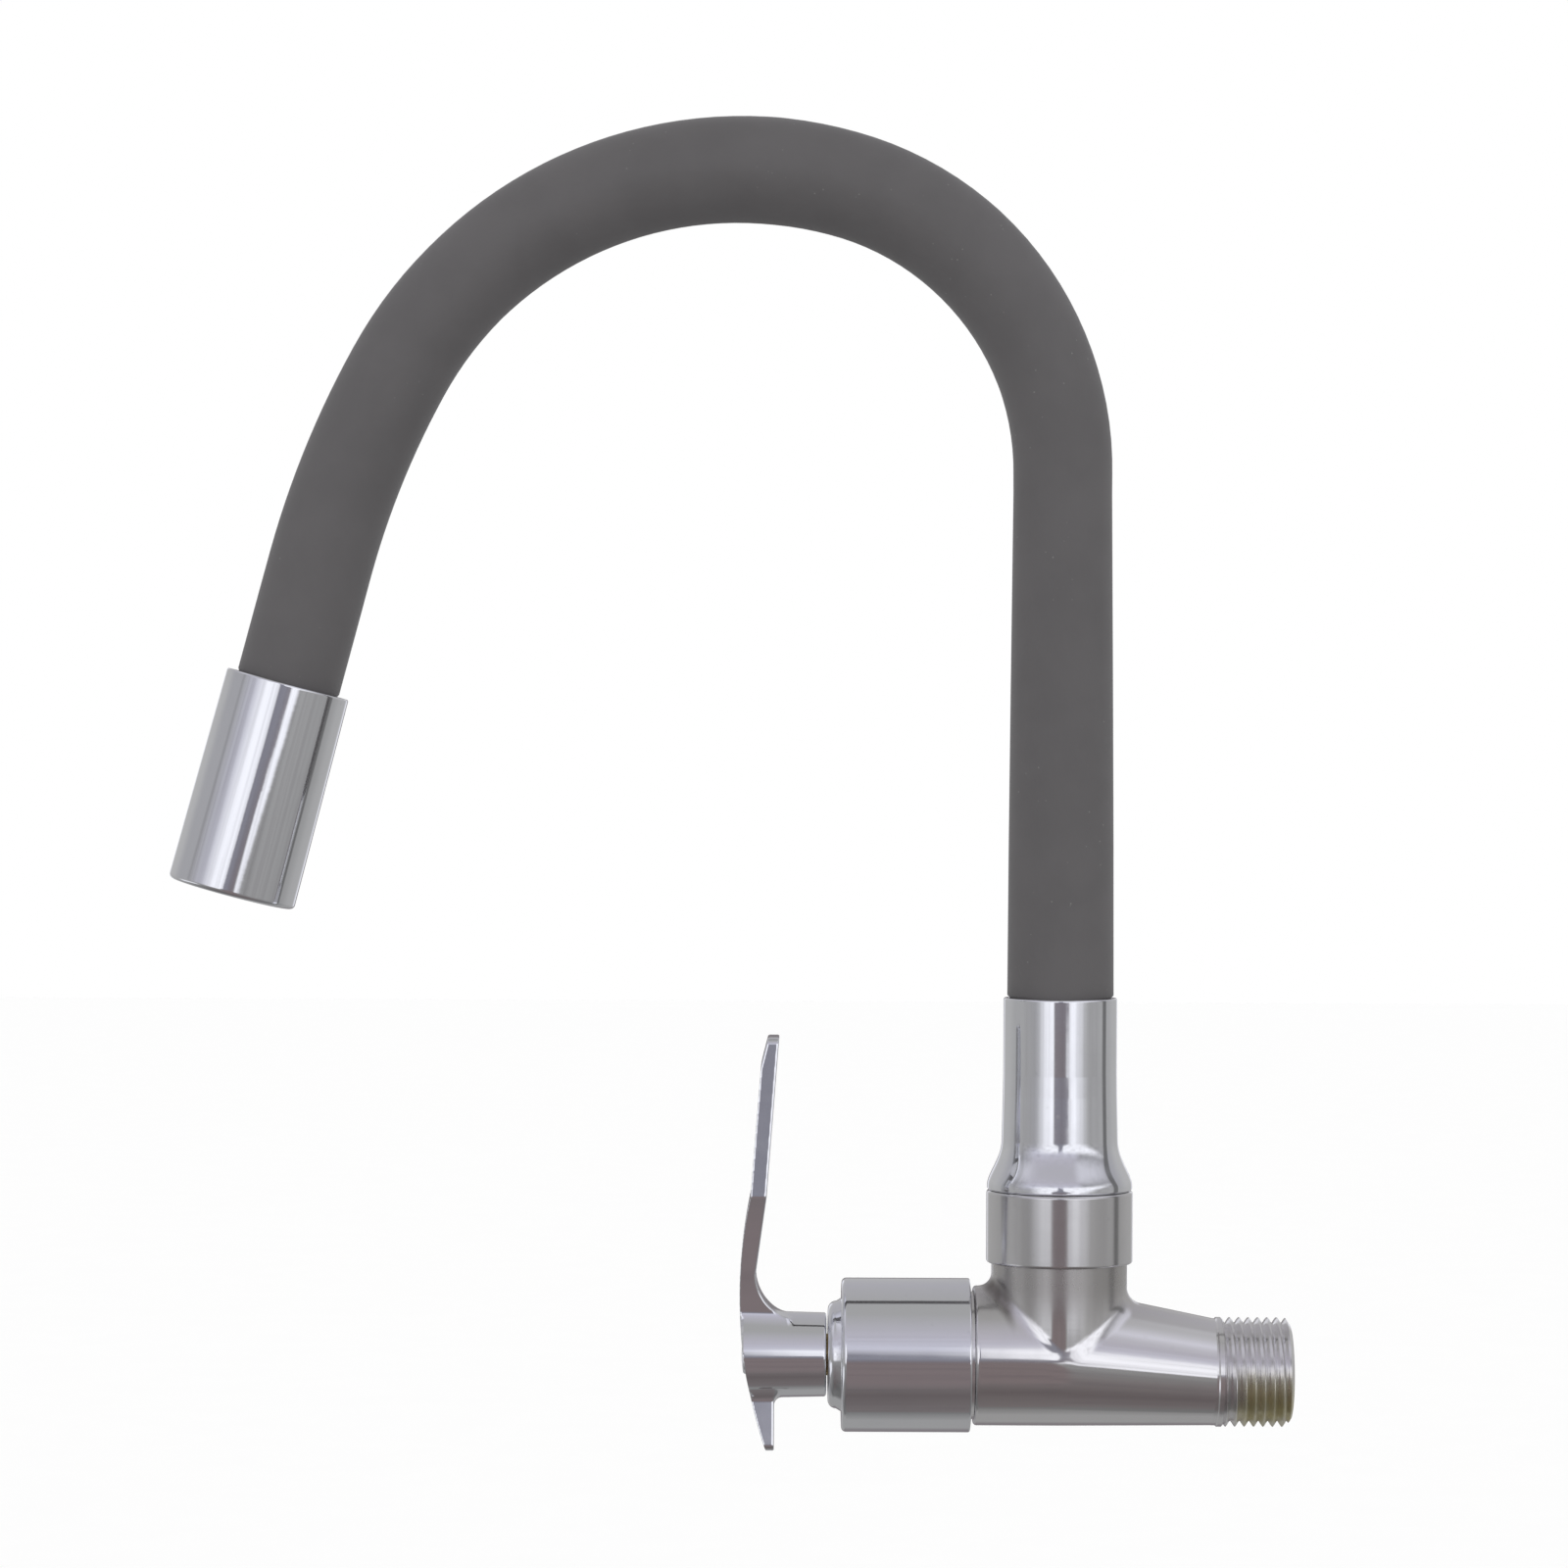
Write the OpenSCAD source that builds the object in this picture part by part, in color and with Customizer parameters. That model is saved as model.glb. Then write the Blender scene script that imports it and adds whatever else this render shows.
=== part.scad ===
// Wall-mounted single-lever cold tap for a utility sink.
// A horizontal body screws into the wall fitting, a quarter-turn lever sits on its free end,
// and a flexible gooseneck spout in a silicone sleeve swivels on its neck.
// Frame: the origin is the centre of the shoulder behind the inlet thread, +X runs into the wall,
// +Z is up, the spout arches towards -X. Lengths are in millimetres.

/* [Inlet thread] */
// Outside diameter of the inlet thread (half-inch parallel pipe thread)
thread_d = 20.955; // [18:0.005:22]
// Thread pitch
thread_pitch = 1.814; // [1.4:0.001:2.2]
// Thread depth from crest to root
thread_depth = 1.16; // [0.7:0.01:1.3]
// Length of the threaded end
thread_l = 14.5; // [11:0.1:22]
// Plain land between the shoulder and the first groove
thread_land = 1.6; // [1:0.1:3]
// Water bore of the threaded end
inlet_bore_d = 13; // [9:0.5:14]
// Chamfer at the free end of the thread
thread_lead = 0.7; // [0.5:0.1:1]

/* [Body] */
// Distance from the thread shoulder to the spout axis
neck_x = 30; // [28:0.5:40]
// Distance from the spout axis to the shoulder that faces the bonnet sleeve
barrel_tail = 16.6; // [15:0.1:22]
// Height of the cartridge axis above the thread axis, which keeps the underside level
axis_rise = 3; // [1.5:0.1:3.5]
// Wall of the barrel around the cartridge chamber
barrel_wall = 3.4; // [2.4:0.1:5]
// Diameter of the barrel where it meets the thread
shoulder_d = 20.4; // [19.6:0.1:22]
// Length of the barrel's taper towards the thread
taper_l = 30; // [26:0.5:31]
// Height of the neck above the cartridge axis, up to the union nut
neck_h = 18; // [16.5:0.1:30]
// Wall of the threaded neck under the union nut
neck_wall = 2.9; // [2:0.1:4]
// Step from the neck's thread out to its visible skin
neck_step = 1.15; // [0.6:0.05:1.6]
// Length of the threaded neck inside the union nut
neck_thread_l = 7.8; // [6:0.1:9]
// Length of the cartridge socket inside the bonnet sleeve
spigot_l = 8; // [6:0.5:10]
// Wall of the cartridge socket
spigot_wall = 3; // [2.4:0.1:4]

/* [Cartridge] */
// Outside diameter of the cartridge housing
cartridge_d = 18.2; // [17.4:0.1:22]
// Water gap between the cartridge and its chamber
chamber_gap = 0.9; // [0.5:0.1:2]
// Distance from the seat back to the spout axis
seat_back = 6; // [4:0.5:8]
// Water hole through the seat
seat_bore_d = 9.6; // [7:0.2:10]
// Thickness of the seat's wall
seat_t = 2; // [1.5:0.1:4]
// Diameter of the two ceramic discs
disc_d = 14.8; // [13.6:0.1:15]
// Thickness of each ceramic disc
disc_t = 3; // [2:0.1:4]
// Thickness of the rubber seal on the seat
seal_t = 2.2; // [1.8:0.1:3.5]
// Height of the seal that stands out of the cartridge housing
seal_proud = 0.8; // [0.5:0.1:1.2]
// Thickness of the spindle's driving flange
driver_t = 3.6; // [3:0.1:5]
// Thickness of the friction washer
washer_t = 0.8; // [0.5:0.1:1.5]
// Diameter of the spindle
spindle_d = 8; // [7.4:0.1:9]
// Number of teeth on the spindle's spline
spline_teeth = 20; // [16:1:24]
// Depth of the spindle's spline
spline_depth = 0.35; // [0.2:0.05:0.5]
// Height of the cartridge's spanner hexagon
hex_h = 5; // [3.5:0.1:6]
// Width across the flats of the hexagon
hex_flats = 20.6; // [19:0.1:21]
// Length of the cartridge's guide past the hexagon
guide_l = 5.6; // [4:0.1:6.4]
// Wall of the cartridge's guide
guide_wall = 2.6; // [1.8:0.1:3]
// Width of the water windows in the cartridge's side
window_w = 8.4; // [6:0.2:9]
// Cord diameter of the cartridge's o-ring
housing_ring_t = 1.5; // [1.2:0.1:1.8]
// Cord diameter of the spindle's o-rings
spindle_ring_t = 1.1; // [0.8:0.1:1.3]
// Thickness of the spindle's clip
clip_t = 0.8; // [0.6:0.1:1]
// Width of the clip outside the spindle
clip_w = 1.8; // [1.2:0.1:2.2]

/* [Bonnet sleeve] */
// Length of the sleeve
sleeve_l = 24.7; // [24:0.1:34]
// Wall of the sleeve over the cartridge socket
sleeve_wall = 2.4; // [1.4:0.1:4]
// Shadow gap between the sleeve and the barrel
sleeve_gap = 0.6; // [0.4:0.1:1.5]
// Thickness of the sleeve's front wall
front_t = 2.6; // [1.6:0.1:4]
// Length of the stepped nose
nose_l = 2.6; // [1:0.1:5]
// Larger diameter of the nose
nose_d = 21.6; // [18:0.1:24]
// Smaller diameter of the nose, at the lever
nose_tip_d = 20.6; // [17:0.1:21.4]
// Rounding of the nose's front edge
nose_edge = 1.6; // [0.5:0.1:2.2]
// Rounding of the sleeve's front edge
sleeve_edge = 0.9; // [0.5:0.1:1.5]

/* [Lever] */
// Height of the lever's tip above the cartridge axis
lever_up = 61.3; // [50:0.1:90]
// Reach of the lever's tail below the cartridge axis
lever_down = 17.9; // [14:0.1:22]
// Thickness of the blade
blade_t = 2.7; // [2:0.1:4]
// Thickness of the tail at its lower end
tail_t = 1.6; // [1.2:0.1:2.6]
// Width of the blade at its crease
blade_w = 18; // [14:0.1:26]
// Width of the blade at the tip
tip_w = 13; // [10:0.1:18]
// Width of the lever's waist above and below the hub
waist_w = 9; // [7:0.1:12]
// Width of the tail at its lower end
tail_w = 11; // [9:0.1:16]
// Corner radius of the blade
corner_r = 3; // [1:0.1:4.5]
// Radius of the bowed lower half of the blade
bow_r = 90; // [80:1:140]
// Height of the bow's furthest point above the cartridge axis
bow_z = 12; // [10:0.5:15]
// Height of the crease between the bow and the straight upper blade
crease_z = 31; // [26:0.5:38]
// Lean of the straight upper blade
lean = 4.3; // [1:0.1:6]
// Distance from the nose to the blade's furthest point
hub_l = 16.7; // [16:0.1:22]
// Wall of the hub around the spindle
hub_wall = 4.3; // [3.8:0.1:5]
// Taper of the hub's radius towards the sleeve
hub_taper = 0.4; // [0:0.1:0.8]
// Radius of the fillet between the blade and the hub
root_r = 9; // [6:0.5:10]
// Diameter of the index cap
cap_d = 7.6; // [7:0.1:9]
// Distance from the blade's furthest point to the web under the screw's head
web_back = 7.4; // [7:0.1:8]
// Thickness of the web under the screw's head
web_t = 1.8; // [1.2:0.1:2.2]
// Diameter of the handle screw
screw_d = 4; // [3:0.5:5]
// Diameter of the screw's head
screw_head_d = 6.6; // [5.5:0.1:6.8]
// Height of the screw's head
screw_head_h = 2.2; // [1.6:0.1:2.4]
// Length of the screw in the spindle
screw_l = 8; // [6:0.5:10]

/* [Union nut] */
// Height of the union nut
nut_h = 13.9; // [12.8:0.1:20]
// Wall of the union nut over the neck's thread
nut_wall = 2.05; // [1.6:0.05:4]
// Thickness of the nut's inner lip
nut_lip = 2.2; // [1.6:0.1:2.8]

/* [Swivel tail] */
// Diameter of the swivelling tail in the neck
tail_d = 17.9; // [17:0.1:20]
// Depth of the tail below the top of the neck's thread
tail_l = 15; // [13:0.1:16]
// Water bore of the tail
tail_bore_d = 6.4; // [4:0.1:6.6]
// Cord diameter of the tail's o-rings
tail_ring_t = 2; // [1.4:0.1:2.4]
// Thickness of each glide ring
glide_t = 0.6; // [0.4:0.1:1]
// Step from the tail's radius out to its throat
tail_step = 0.75; // [0.5:0.05:1]

/* [Riser ferrule] */
// Height of the riser ferrule
riser_h = 36.7; // [34:0.1:60]
// Wall of the riser around the sleeve
riser_wall = 1; // [0.5:0.05:2]
// Height of the flare at the riser's foot
flare_h = 9.4; // [7:0.1:12]
// Distance from the sleeve's lower end down to the seat of the inner hose
seat_drop = 8.7; // [8:0.1:10]

/* [Hose] */
// Outside diameter of the silicone sleeve
hose_d = 19.6; // [19:0.1:24]
// Wall of the silicone sleeve
hose_wall = 2.3; // [1.8:0.1:2.4]
// Wall of the gooseneck support tube
support_wall = 1.4; // [0.8:0.1:1.5]
// Outside diameter of the inner water hose
liner_d = 11.6; // [10.6:0.1:11.8]
// Wall of the inner water hose
liner_wall = 1.8; // [1.4:0.1:2]
// Length of the crimp rings on the inner hose
crimp_l = 8; // [6:0.5:9]
// Largest turn between two neighbouring sections of the support tube
section_turn = 20; // [10:1:24]
// Height of the spout's highest point above the cartridge axis
spout_h = 238; // [218:1:330]
// Radius of the arch's first stretch
arch_r1 = 57; // [50:1:90]
// Turn of the arch's first stretch
arch_turn_1 = 73.5; // [60:0.5:85]
// Radius of the arch's second stretch
arch_r2 = 75; // [60:1:110]
// Turn of the arch's second stretch
arch_turn_2 = 77.8; // [65:0.1:85]
// Radius of the arch's third stretch
arch_r3 = 170; // [130:1:220]
// Turn of the arch's third stretch
arch_turn_3 = 13.8; // [8:0.1:18]
// Straight length before the outlet shell
hose_drop = 23.4; // [12:0.1:60]
// Length of sleeve hidden in each end fitting
hose_in = 15; // [13:0.5:18]

/* [Outlet] */
// Length of the outlet shell
outlet_l = 41.8; // [40:0.2:60]
// Wall of the outlet shell around the sleeve
outlet_wall = 1.6; // [1.2:0.05:3]
// Growth of the shell's radius towards its open end
outlet_flare = 0.45; // [0:0.05:1]
// Radius of the shell's lower edge
outlet_edge = 1; // [0.4:0.1:1.2]
// Height of the nipple's flange
nipple_h = 4; // [3:0.1:5]
// Thickness of the aerator's gasket
gasket_t = 1.8; // [1.2:0.1:2.5]
// Width of the gasket's ring
gasket_w = 3.6; // [2.5:0.1:4.2]
// Wall of the aerator's housing
aerator_wall = 1.3; // [0.9:0.1:2]
// Height of the aerator's retaining ring
ring_h = 3.4; // [2.5:0.1:4]
// Recess of the aerator inside the shell
recess = 1.2; // [0.6:0.1:2.5]
// Thickness of the aerator's screen
screen_t = 1; // [0.6:0.1:1.6]

/* [Fits] */
// Radial clearance of turning fits
run_fit = 0.06; // [0.04:0.01:0.1]
// Radial clearance of threads and slip fits
slip_fit = 0.12; // [0.08:0.01:0.2]
// Air gap between pieces that must not touch
air_gap = 0.3; // [0.3:0.05:0.6]
// Clearance of faces that bear on each other
face_fit = 0.03; // [0.02:0.01:0.05]
// Small chamfer on turned edges
edge = 0.3; // [0.1:0.05:0.4]
// Lead-in chamfer on the socket and the nut
lead_in = 0.5; // [0.3:0.1:0.8]

/* [Hidden] */
$fn = 96;
arc_steps = 10;

// barrel
thread_r = thread_d / 2;
cartridge_r = cartridge_d / 2;
chamber_r = cartridge_r + chamber_gap;
barrel_r = chamber_r + barrel_wall;
barrel_l = neck_x + barrel_tail;
socket_r = cartridge_r + slip_fit;
spigot_r = socket_r + spigot_wall;
spigot_end = barrel_l + spigot_l;
seat_d = neck_x - seat_back;
shoulder_r = shoulder_d / 2;
taper_tilt = atan(axis_rise / taper_l);
taper_run = taper_l / cos(taper_tilt);
taper_wide_r = barrel_r - 0.05;
taper_slope = (taper_wide_r - shoulder_r) / taper_run;
taper_over = taper_l / 10;
taper_end_r = shoulder_r - taper_over * taper_slope;
barrel_from = taper_l * 0.93;
thread_turns = floor((thread_l - thread_land - thread_lead) / thread_pitch);
counter_l = housing_ring_t * 1.27;
housing_groove = housing_ring_t * 0.23;

// cartridge, distances from the shoulder towards the lever
disc_r = disc_d / 2;
disc_well_r = disc_r + slip_fit;
key_w = disc_d * 0.16;
key_h = disc_t * 0.4;
housing_at = seat_d + seal_t - seal_proud;
fixed_at = seat_d + seal_t + face_fit;
moving_at = fixed_at + disc_t + face_fit;
driver_at = moving_at + disc_t + face_fit;
washer_at = driver_at + driver_t + face_fit;
well_end = washer_at + washer_t + face_fit;
hex_at = spigot_end + face_fit;
guide_end = hex_at + hex_h + guide_l;
spindle_r = spindle_d / 2;
spindle_ring_r = spindle_r - spindle_ring_t / 2 - face_fit;
spindle_ring_at = [hex_at - 4.7 * spindle_ring_t, hex_at - 1.8 * spindle_ring_t];
clip_at = guide_end + slip_fit;

// bonnet sleeve
sleeve_at = barrel_l + sleeve_gap;
sleeve_end = sleeve_at + sleeve_l;
sleeve_in_r = spigot_r + slip_fit;
sleeve_r = sleeve_in_r + sleeve_wall;
front_at = sleeve_end - front_t;
nose_end = sleeve_end + nose_l;
front_bore_r = spindle_r + air_gap;

// lever
hub_at = nose_end + air_gap;
bow_at = hub_at + hub_l;
hub_r = spindle_r + slip_fit + hub_wall;
hub_end = bow_at - blade_t * 1.22;
spline_at = hub_at + air_gap;
web_at = bow_at - web_back;
spindle_end = web_at - slip_fit;
screw_r = screw_d / 2;
screw_head_r = screw_head_d / 2;
cap_r = cap_d / 2;
cap_at = web_at + web_t + screw_head_h + slip_fit;
crease_out = bow_r - sqrt(bow_r * bow_r - (crease_z - bow_z) * (crease_z - bow_z));
tail_out = bow_r - sqrt(bow_r * bow_r - (bow_z + lever_down) * (bow_z + lever_down));
blade_back = (lever_up - crease_z) * tan(lean);
blade_reach = hub_l + crease_out + tail_out + blade_back;

// neck, union nut and swivel tail
tail_r = tail_d / 2;
neck_bore_r = tail_r + run_fit;
neck_thread_r = neck_bore_r + neck_wall;
neck_r = neck_thread_r + neck_step;
neck_top = neck_h + neck_thread_l;
nut_in_r = neck_thread_r + slip_fit;
nut_r = nut_in_r + nut_wall;
nut_at = neck_h + face_fit;
nut_top = nut_at + nut_h;
tail_foot = neck_top - tail_l;
low_glide_at = neck_top + face_fit;
flange_at = low_glide_at + glide_t + face_fit;
high_glide_at = nut_top - nut_lip - face_fit - glide_t;
flange_end = high_glide_at - face_fit;
flange_r = neck_thread_r - air_gap;
throat_r = tail_r + tail_step;
nut_bore_r = throat_r + air_gap;
tail_ring_r = tail_r - tail_ring_t / 2 + face_fit;
tail_ring_at = [tail_foot + 1.2 * tail_ring_t, tail_foot + 3.6 * tail_ring_t];
channel_r = tail_r * 0.82;

// riser and hose ends
hose_r = hose_d / 2;
hose_in_r = hose_r - hose_wall;
support_r = hose_in_r - slip_fit;
support_in_r = support_r - support_wall;
liner_r = liner_d / 2;
liner_in_r = liner_r - liner_wall;
barb_r = liner_in_r - slip_fit;
crimp_in_r = liner_r + run_fit;
crimp_r = support_r - 2 * slip_fit;
riser_at = nut_top + air_gap;
riser_top = riser_at + riser_h;
riser_in_r = hose_r + slip_fit;
riser_r = riser_in_r + riser_wall;
riser_foot_r = nut_r - slip_fit;
hose_foot = riser_top - hose_in;
riser_step = hose_foot - seat_drop;

// arch path, measured from the lower end of the silicone sleeve
arch_rise = arch_r1 * sin(arch_turn_1) + arch_r2 * (1 - sin(arch_turn_1));
hose_rise = spout_h - hose_r - arch_rise - riser_top;
part_r = [0, arch_r1, arch_r2, arch_r3, 0];
part_a = [0, arch_turn_1, arch_turn_2, arch_turn_3, 0];
part_l = [
    hose_in + hose_rise,
    arch_r1 * arch_turn_1 * PI / 180,
    arch_r2 * arch_turn_2 * PI / 180,
    arch_r3 * arch_turn_3 * PI / 180,
    hose_drop + hose_in
];
function part_end(i) = i < 0 ? 0 : part_end(i - 1) + part_l[i];
function turn_end(i) = i < 0 ? 0 : turn_end(i - 1) + part_a[i];
function step_by(p, h, r, a, l) = r == 0
    ? p + l * [-sin(h), cos(h)]
    : p + r * [cos(h + a) - cos(h), sin(h + a) - sin(h)];
function corner(i) = i < 0
    ? [-neck_x, axis_rise + hose_foot]
    : step_by(corner(i - 1), turn_end(i - 1), part_r[i], part_a[i], part_l[i]);
function part_of(s, i = 0) = i >= 4 || s <= part_end(i) ? i : part_of(s, i + 1);
function turn_in(s, i) = turn_end(i - 1) + part_a[i] * (s - part_end(i - 1)) / part_l[i];
function turn_of(s) = turn_in(s, part_of(s));
function place_of(s) = let (i = part_of(s), d = s - part_end(i - 1))
    step_by(corner(i - 1), turn_end(i - 1), part_r[i], part_a[i] * d / part_l[i], d);
hose_l = part_end(4);
mouth = hose_l - hose_in;
visible_l = mouth - hose_in;
sections = 7;
section_gap = 2 * support_r * tan(section_turn / 2) + air_gap;
weld = 0.5;
weld_step = 0.1;
function hinge(i) = hose_in + visible_l * i / sections;

// ends of the inner hose, seen from each fitting
barb_l = crimp_l * 1.5;
barb_foot = riser_step + barb_l / 12;
liner_foot = barb_foot + air_gap;
crimp_at = liner_foot + crimp_l / 8;
support_foot = crimp_at + crimp_l + air_gap;
liner_from = liner_foot - hose_foot;
support_from = support_foot - hose_foot;

// outlet, distances from the shell's mouth
outlet_in_r = hose_r + slip_fit;
outlet_r = outlet_in_r + outlet_wall;
outlet_step = hose_in + air_gap;
outlet_well_r = outlet_in_r + air_gap;
nipple_r = outlet_well_r - slip_fit;
nipple_at = outlet_step + face_fit;
gasket_at = nipple_at + nipple_h + face_fit;
aerator_at = gasket_at + gasket_t + face_fit;
ring_at = outlet_l - recess - ring_h;
aerator_h = ring_at - face_fit - aerator_at;
aerator_r = outlet_well_r - air_gap;
aerator_in_r = aerator_r - aerator_wall;
screen_at = ring_at - face_fit - screen_t;
upper_crimp_at = nipple_at - crimp_l * 1.275;
liner_to = mouth + nipple_at - barb_l / 12;
support_to = mouth + upper_crimp_at - air_gap;

// on the cartridge axis, local +Z points from the shoulder towards the lever, local +X points up
module toward_lever(d) {
    translate([-d, 0, axis_rise]) rotate([0, -90, 0]) children();
}

// on the thread axis, local +Z points from the shoulder into the wall
module toward_wall(d) {
    translate([d, 0, 0]) rotate([0, 90, 0]) children();
}

// local +Z points up on the spout axis, heights start at the cartridge axis
module on_spout(z) {
    translate([-neck_x, 0, axis_rise + z]) children();
}

// local +Z follows the hose at the distance s from its lower end
module on_hose(s) {
    translate([place_of(s)[0], 0, place_of(s)[1]]) rotate([0, -turn_of(s), 0]) children();
}

// local +Z follows the outlet, from the shell's mouth
module on_outlet(d) {
    on_hose(mouth) translate([0, 0, d]) children();
}

module tube(outer, inner, h) {
    difference() {
        cylinder(r = outer, h = h);
        translate([0, 0, -1]) cylinder(r = inner, h = h + 2);
    }
}

module o_ring(middle, cord) {
    rotate_extrude() translate([middle, 0]) circle(d = cord, $fn = 32);
}

// stretch of hose between two distances along the arch; the first and third bends are a hair
// thinner and reach a little into their neighbours, so that the stretches join into one solid
module hose_piece(from, to, outer, inner) {
    for (i = [0:4]) {
        a = i == 0 ? from : max(from, part_end(i - 1));
        b = min(to, part_end(i));
        hair = i % 2 == 1 ? weld_step : 0;
        lead = i % 2 == 1 && a > from ? weld : 0;
        tail = i % 2 == 1 && b < to ? weld : 0;
        if (b > a) hose_part(i, a - lead, b + tail, outer - hair, inner + hair);
    }
}

module hose_part(i, a, b, outer, inner) {
    p = step_by(corner(i - 1), turn_end(i - 1), part_r[i],
        part_a[i] * (a - part_end(i - 1)) / part_l[i], a - part_end(i - 1));
    translate([p[0], 0, p[1]]) rotate([0, -turn_in(a, i), 0]) {
        if (part_r[i] == 0) tube(outer, inner, b - a);
        if (part_r[i] > 0) bend(part_r[i], part_a[i] * (b - a) / part_l[i], outer, inner);
    }
}

module bend(r, angle, outer, inner) {
    translate([-r, 0, 0]) rotate([90, 0, 0]) rotate_extrude(angle = angle) translate([r, 0]) difference() {
        circle(r = outer);
        circle(r = inner);
    }
}

function arc_points(c, r, from, to) = [
    for (i = [0:arc_steps]) let (a = from + (to - from) * i / arc_steps) c + r * [cos(a), sin(a)]
];

// outline of the thread grooves from the shoulder to the free end, as radius and distance
function thread_outline() = [
    for (i = [0:thread_turns - 1]) let (z = thread_land + i * thread_pitch)
        each [
            [thread_r, z + thread_pitch * 0.1],
            [thread_r - thread_depth, z + thread_pitch * 0.45],
            [thread_r - thread_depth, z + thread_pitch * 0.55],
            [thread_r, z + thread_pitch * 0.9]
        ]
];

// leaning cone between the barrel and the thread shoulder
module taper() {
    intersection() {
        translate([-taper_l, 0, axis_rise]) rotate([0, 90 + taper_tilt, 0])
            cylinder(r1 = taper_wide_r, r2 = taper_end_r, h = taper_run + taper_over);
        translate([-2 * taper_l, -2 * barrel_r, -2 * barrel_r])
            cube([2 * taper_l, 4 * barrel_r, 4 * barrel_r]);
    }
}

module tap_body() {
    color([0.80, 0.81, 0.83]) difference() {
        union() {
            toward_wall(-taper_over) cylinder(r = shoulder_r * 0.9, h = taper_over + thread_land);
            toward_wall(0) rotate_extrude() polygon(concat(
                [[0, 0], [thread_r, 0]],
                thread_outline(),
                [[thread_r, thread_l - thread_lead], [thread_r - thread_depth, thread_l], [0, thread_l]]
            ));
            taper();
            toward_lever(barrel_from) rotate_extrude() polygon([
                [0, 0], [barrel_r, 0], [barrel_r, barrel_l - barrel_from - edge],
                [barrel_r - edge, barrel_l - barrel_from], [spigot_r, barrel_l - barrel_from],
                [spigot_r, spigot_end - barrel_from - lead_in],
                [spigot_r - lead_in, spigot_end - barrel_from],
                [0, spigot_end - barrel_from]
            ]);
            on_spout(0) cylinder(r = neck_r, h = neck_h);
            on_spout(0) cylinder(r = neck_thread_r, h = neck_top);
        }
        toward_wall(seat_t - seat_d) cylinder(d = inlet_bore_d, h = thread_l + 1 + seat_d - seat_t);
        toward_lever(seat_d - seat_t - 1) cylinder(d = seat_bore_d, h = seat_t + 2);
        toward_lever(seat_d) cylinder(r = chamber_r, h = barrel_l - 1 - seat_d);
        toward_lever(seat_d) cylinder(r = socket_r, h = spigot_end + 1 - seat_d);
        toward_lever(spigot_end - counter_l) cylinder(r = cartridge_r + housing_ring_t, h = counter_l + 1);
        on_spout(0) cylinder(r = channel_r, h = neck_top);
        on_spout(tail_foot - 0.5) cylinder(r = neck_bore_r, h = tail_l + 1.5);
    }
}

module cartridge_seal() {
    color([0.12, 0.12, 0.13]) toward_lever(seat_d + face_fit / 2)
        tube(disc_r - slip_fit, seat_bore_d / 2 + slip_fit, seal_t);
}

// two opposite water windows through a ceramic disc
module disc_windows(turn) {
    for (a = [0, 180]) rotate([0, 0, turn + a]) translate([0, 0, -1])
        rotate_extrude(angle = 76) translate([disc_r * 0.3, 0]) square([disc_r * 0.36, disc_t + 2]);
}

module fixed_disc() {
    color([0.95, 0.95, 0.92]) toward_lever(fixed_at) difference() {
        cylinder(r = disc_r, h = disc_t);
        disc_windows(-38);
    }
}

module moving_disc() {
    color([0.93, 0.93, 0.90]) toward_lever(moving_at) difference() {
        cylinder(r = disc_r, h = disc_t);
        disc_windows(52);
        for (a = [0, 180]) rotate([0, 0, a]) translate([disc_r * 0.68, -key_w / 2, disc_t - key_h])
            cube([disc_r, key_w, 2 * key_h]);
    }
}

module cartridge_housing() {
    color([0.78, 0.64, 0.33]) difference() {
        union() {
            toward_lever(housing_at) cylinder(r = cartridge_r, h = hex_at + hex_h / 4 - housing_at);
            toward_lever(hex_at) cylinder(d = hex_flats / cos(30), h = hex_h, $fn = 6);
            toward_lever(hex_at) cylinder(r = spindle_r + guide_wall, h = hex_h + guide_l);
        }
        toward_lever(seat_d) cylinder(r = disc_well_r, h = well_end - seat_d);
        toward_lever(seat_d) cylinder(r = spindle_r + run_fit, h = guide_end);
        toward_lever(spigot_end - counter_l)
            tube(cartridge_r + 1, cartridge_r - housing_groove, counter_l - slip_fit);
        toward_lever(driver_at + driver_t * 0.1) translate([-cartridge_r - 1, -window_w / 2, 0])
            cube([cartridge_d + 2, window_w, driver_t * 0.95]);
    }
}

module housing_o_ring() {
    color([0.10, 0.10, 0.11]) toward_lever(spigot_end - counter_l / 2 - slip_fit / 2)
        o_ring(cartridge_r - housing_groove + face_fit + housing_ring_t / 2, housing_ring_t);
}

module bonnet_sleeve() {
    color([0.82, 0.83, 0.85]) toward_lever(sleeve_at) rotate_extrude() polygon([
        [sleeve_in_r, 0], [sleeve_r - edge, 0], [sleeve_r, edge], [sleeve_r, sleeve_l - sleeve_edge],
        [sleeve_r - sleeve_edge * 0.3, sleeve_l - sleeve_edge * 0.3], [sleeve_r - sleeve_edge, sleeve_l],
        [nose_d / 2, sleeve_l],
        each arc_points([nose_tip_d / 2 - nose_edge, sleeve_l + nose_l - nose_edge], nose_edge, 0, 90),
        [front_bore_r, sleeve_l + nose_l],
        [front_bore_r, sleeve_l - front_t], [sleeve_in_r, sleeve_l - front_t]
    ]);
}

module union_nut() {
    color([0.81, 0.82, 0.84]) on_spout(nut_at) rotate_extrude() polygon([
        [nut_in_r, 0], [nut_r - edge, 0], [nut_r, edge], [nut_r, nut_h - lead_in], [nut_r - lead_in, nut_h],
        [nut_bore_r, nut_h], [nut_bore_r, nut_h - nut_lip], [nut_in_r, nut_h - nut_lip]
    ]);
}

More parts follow.
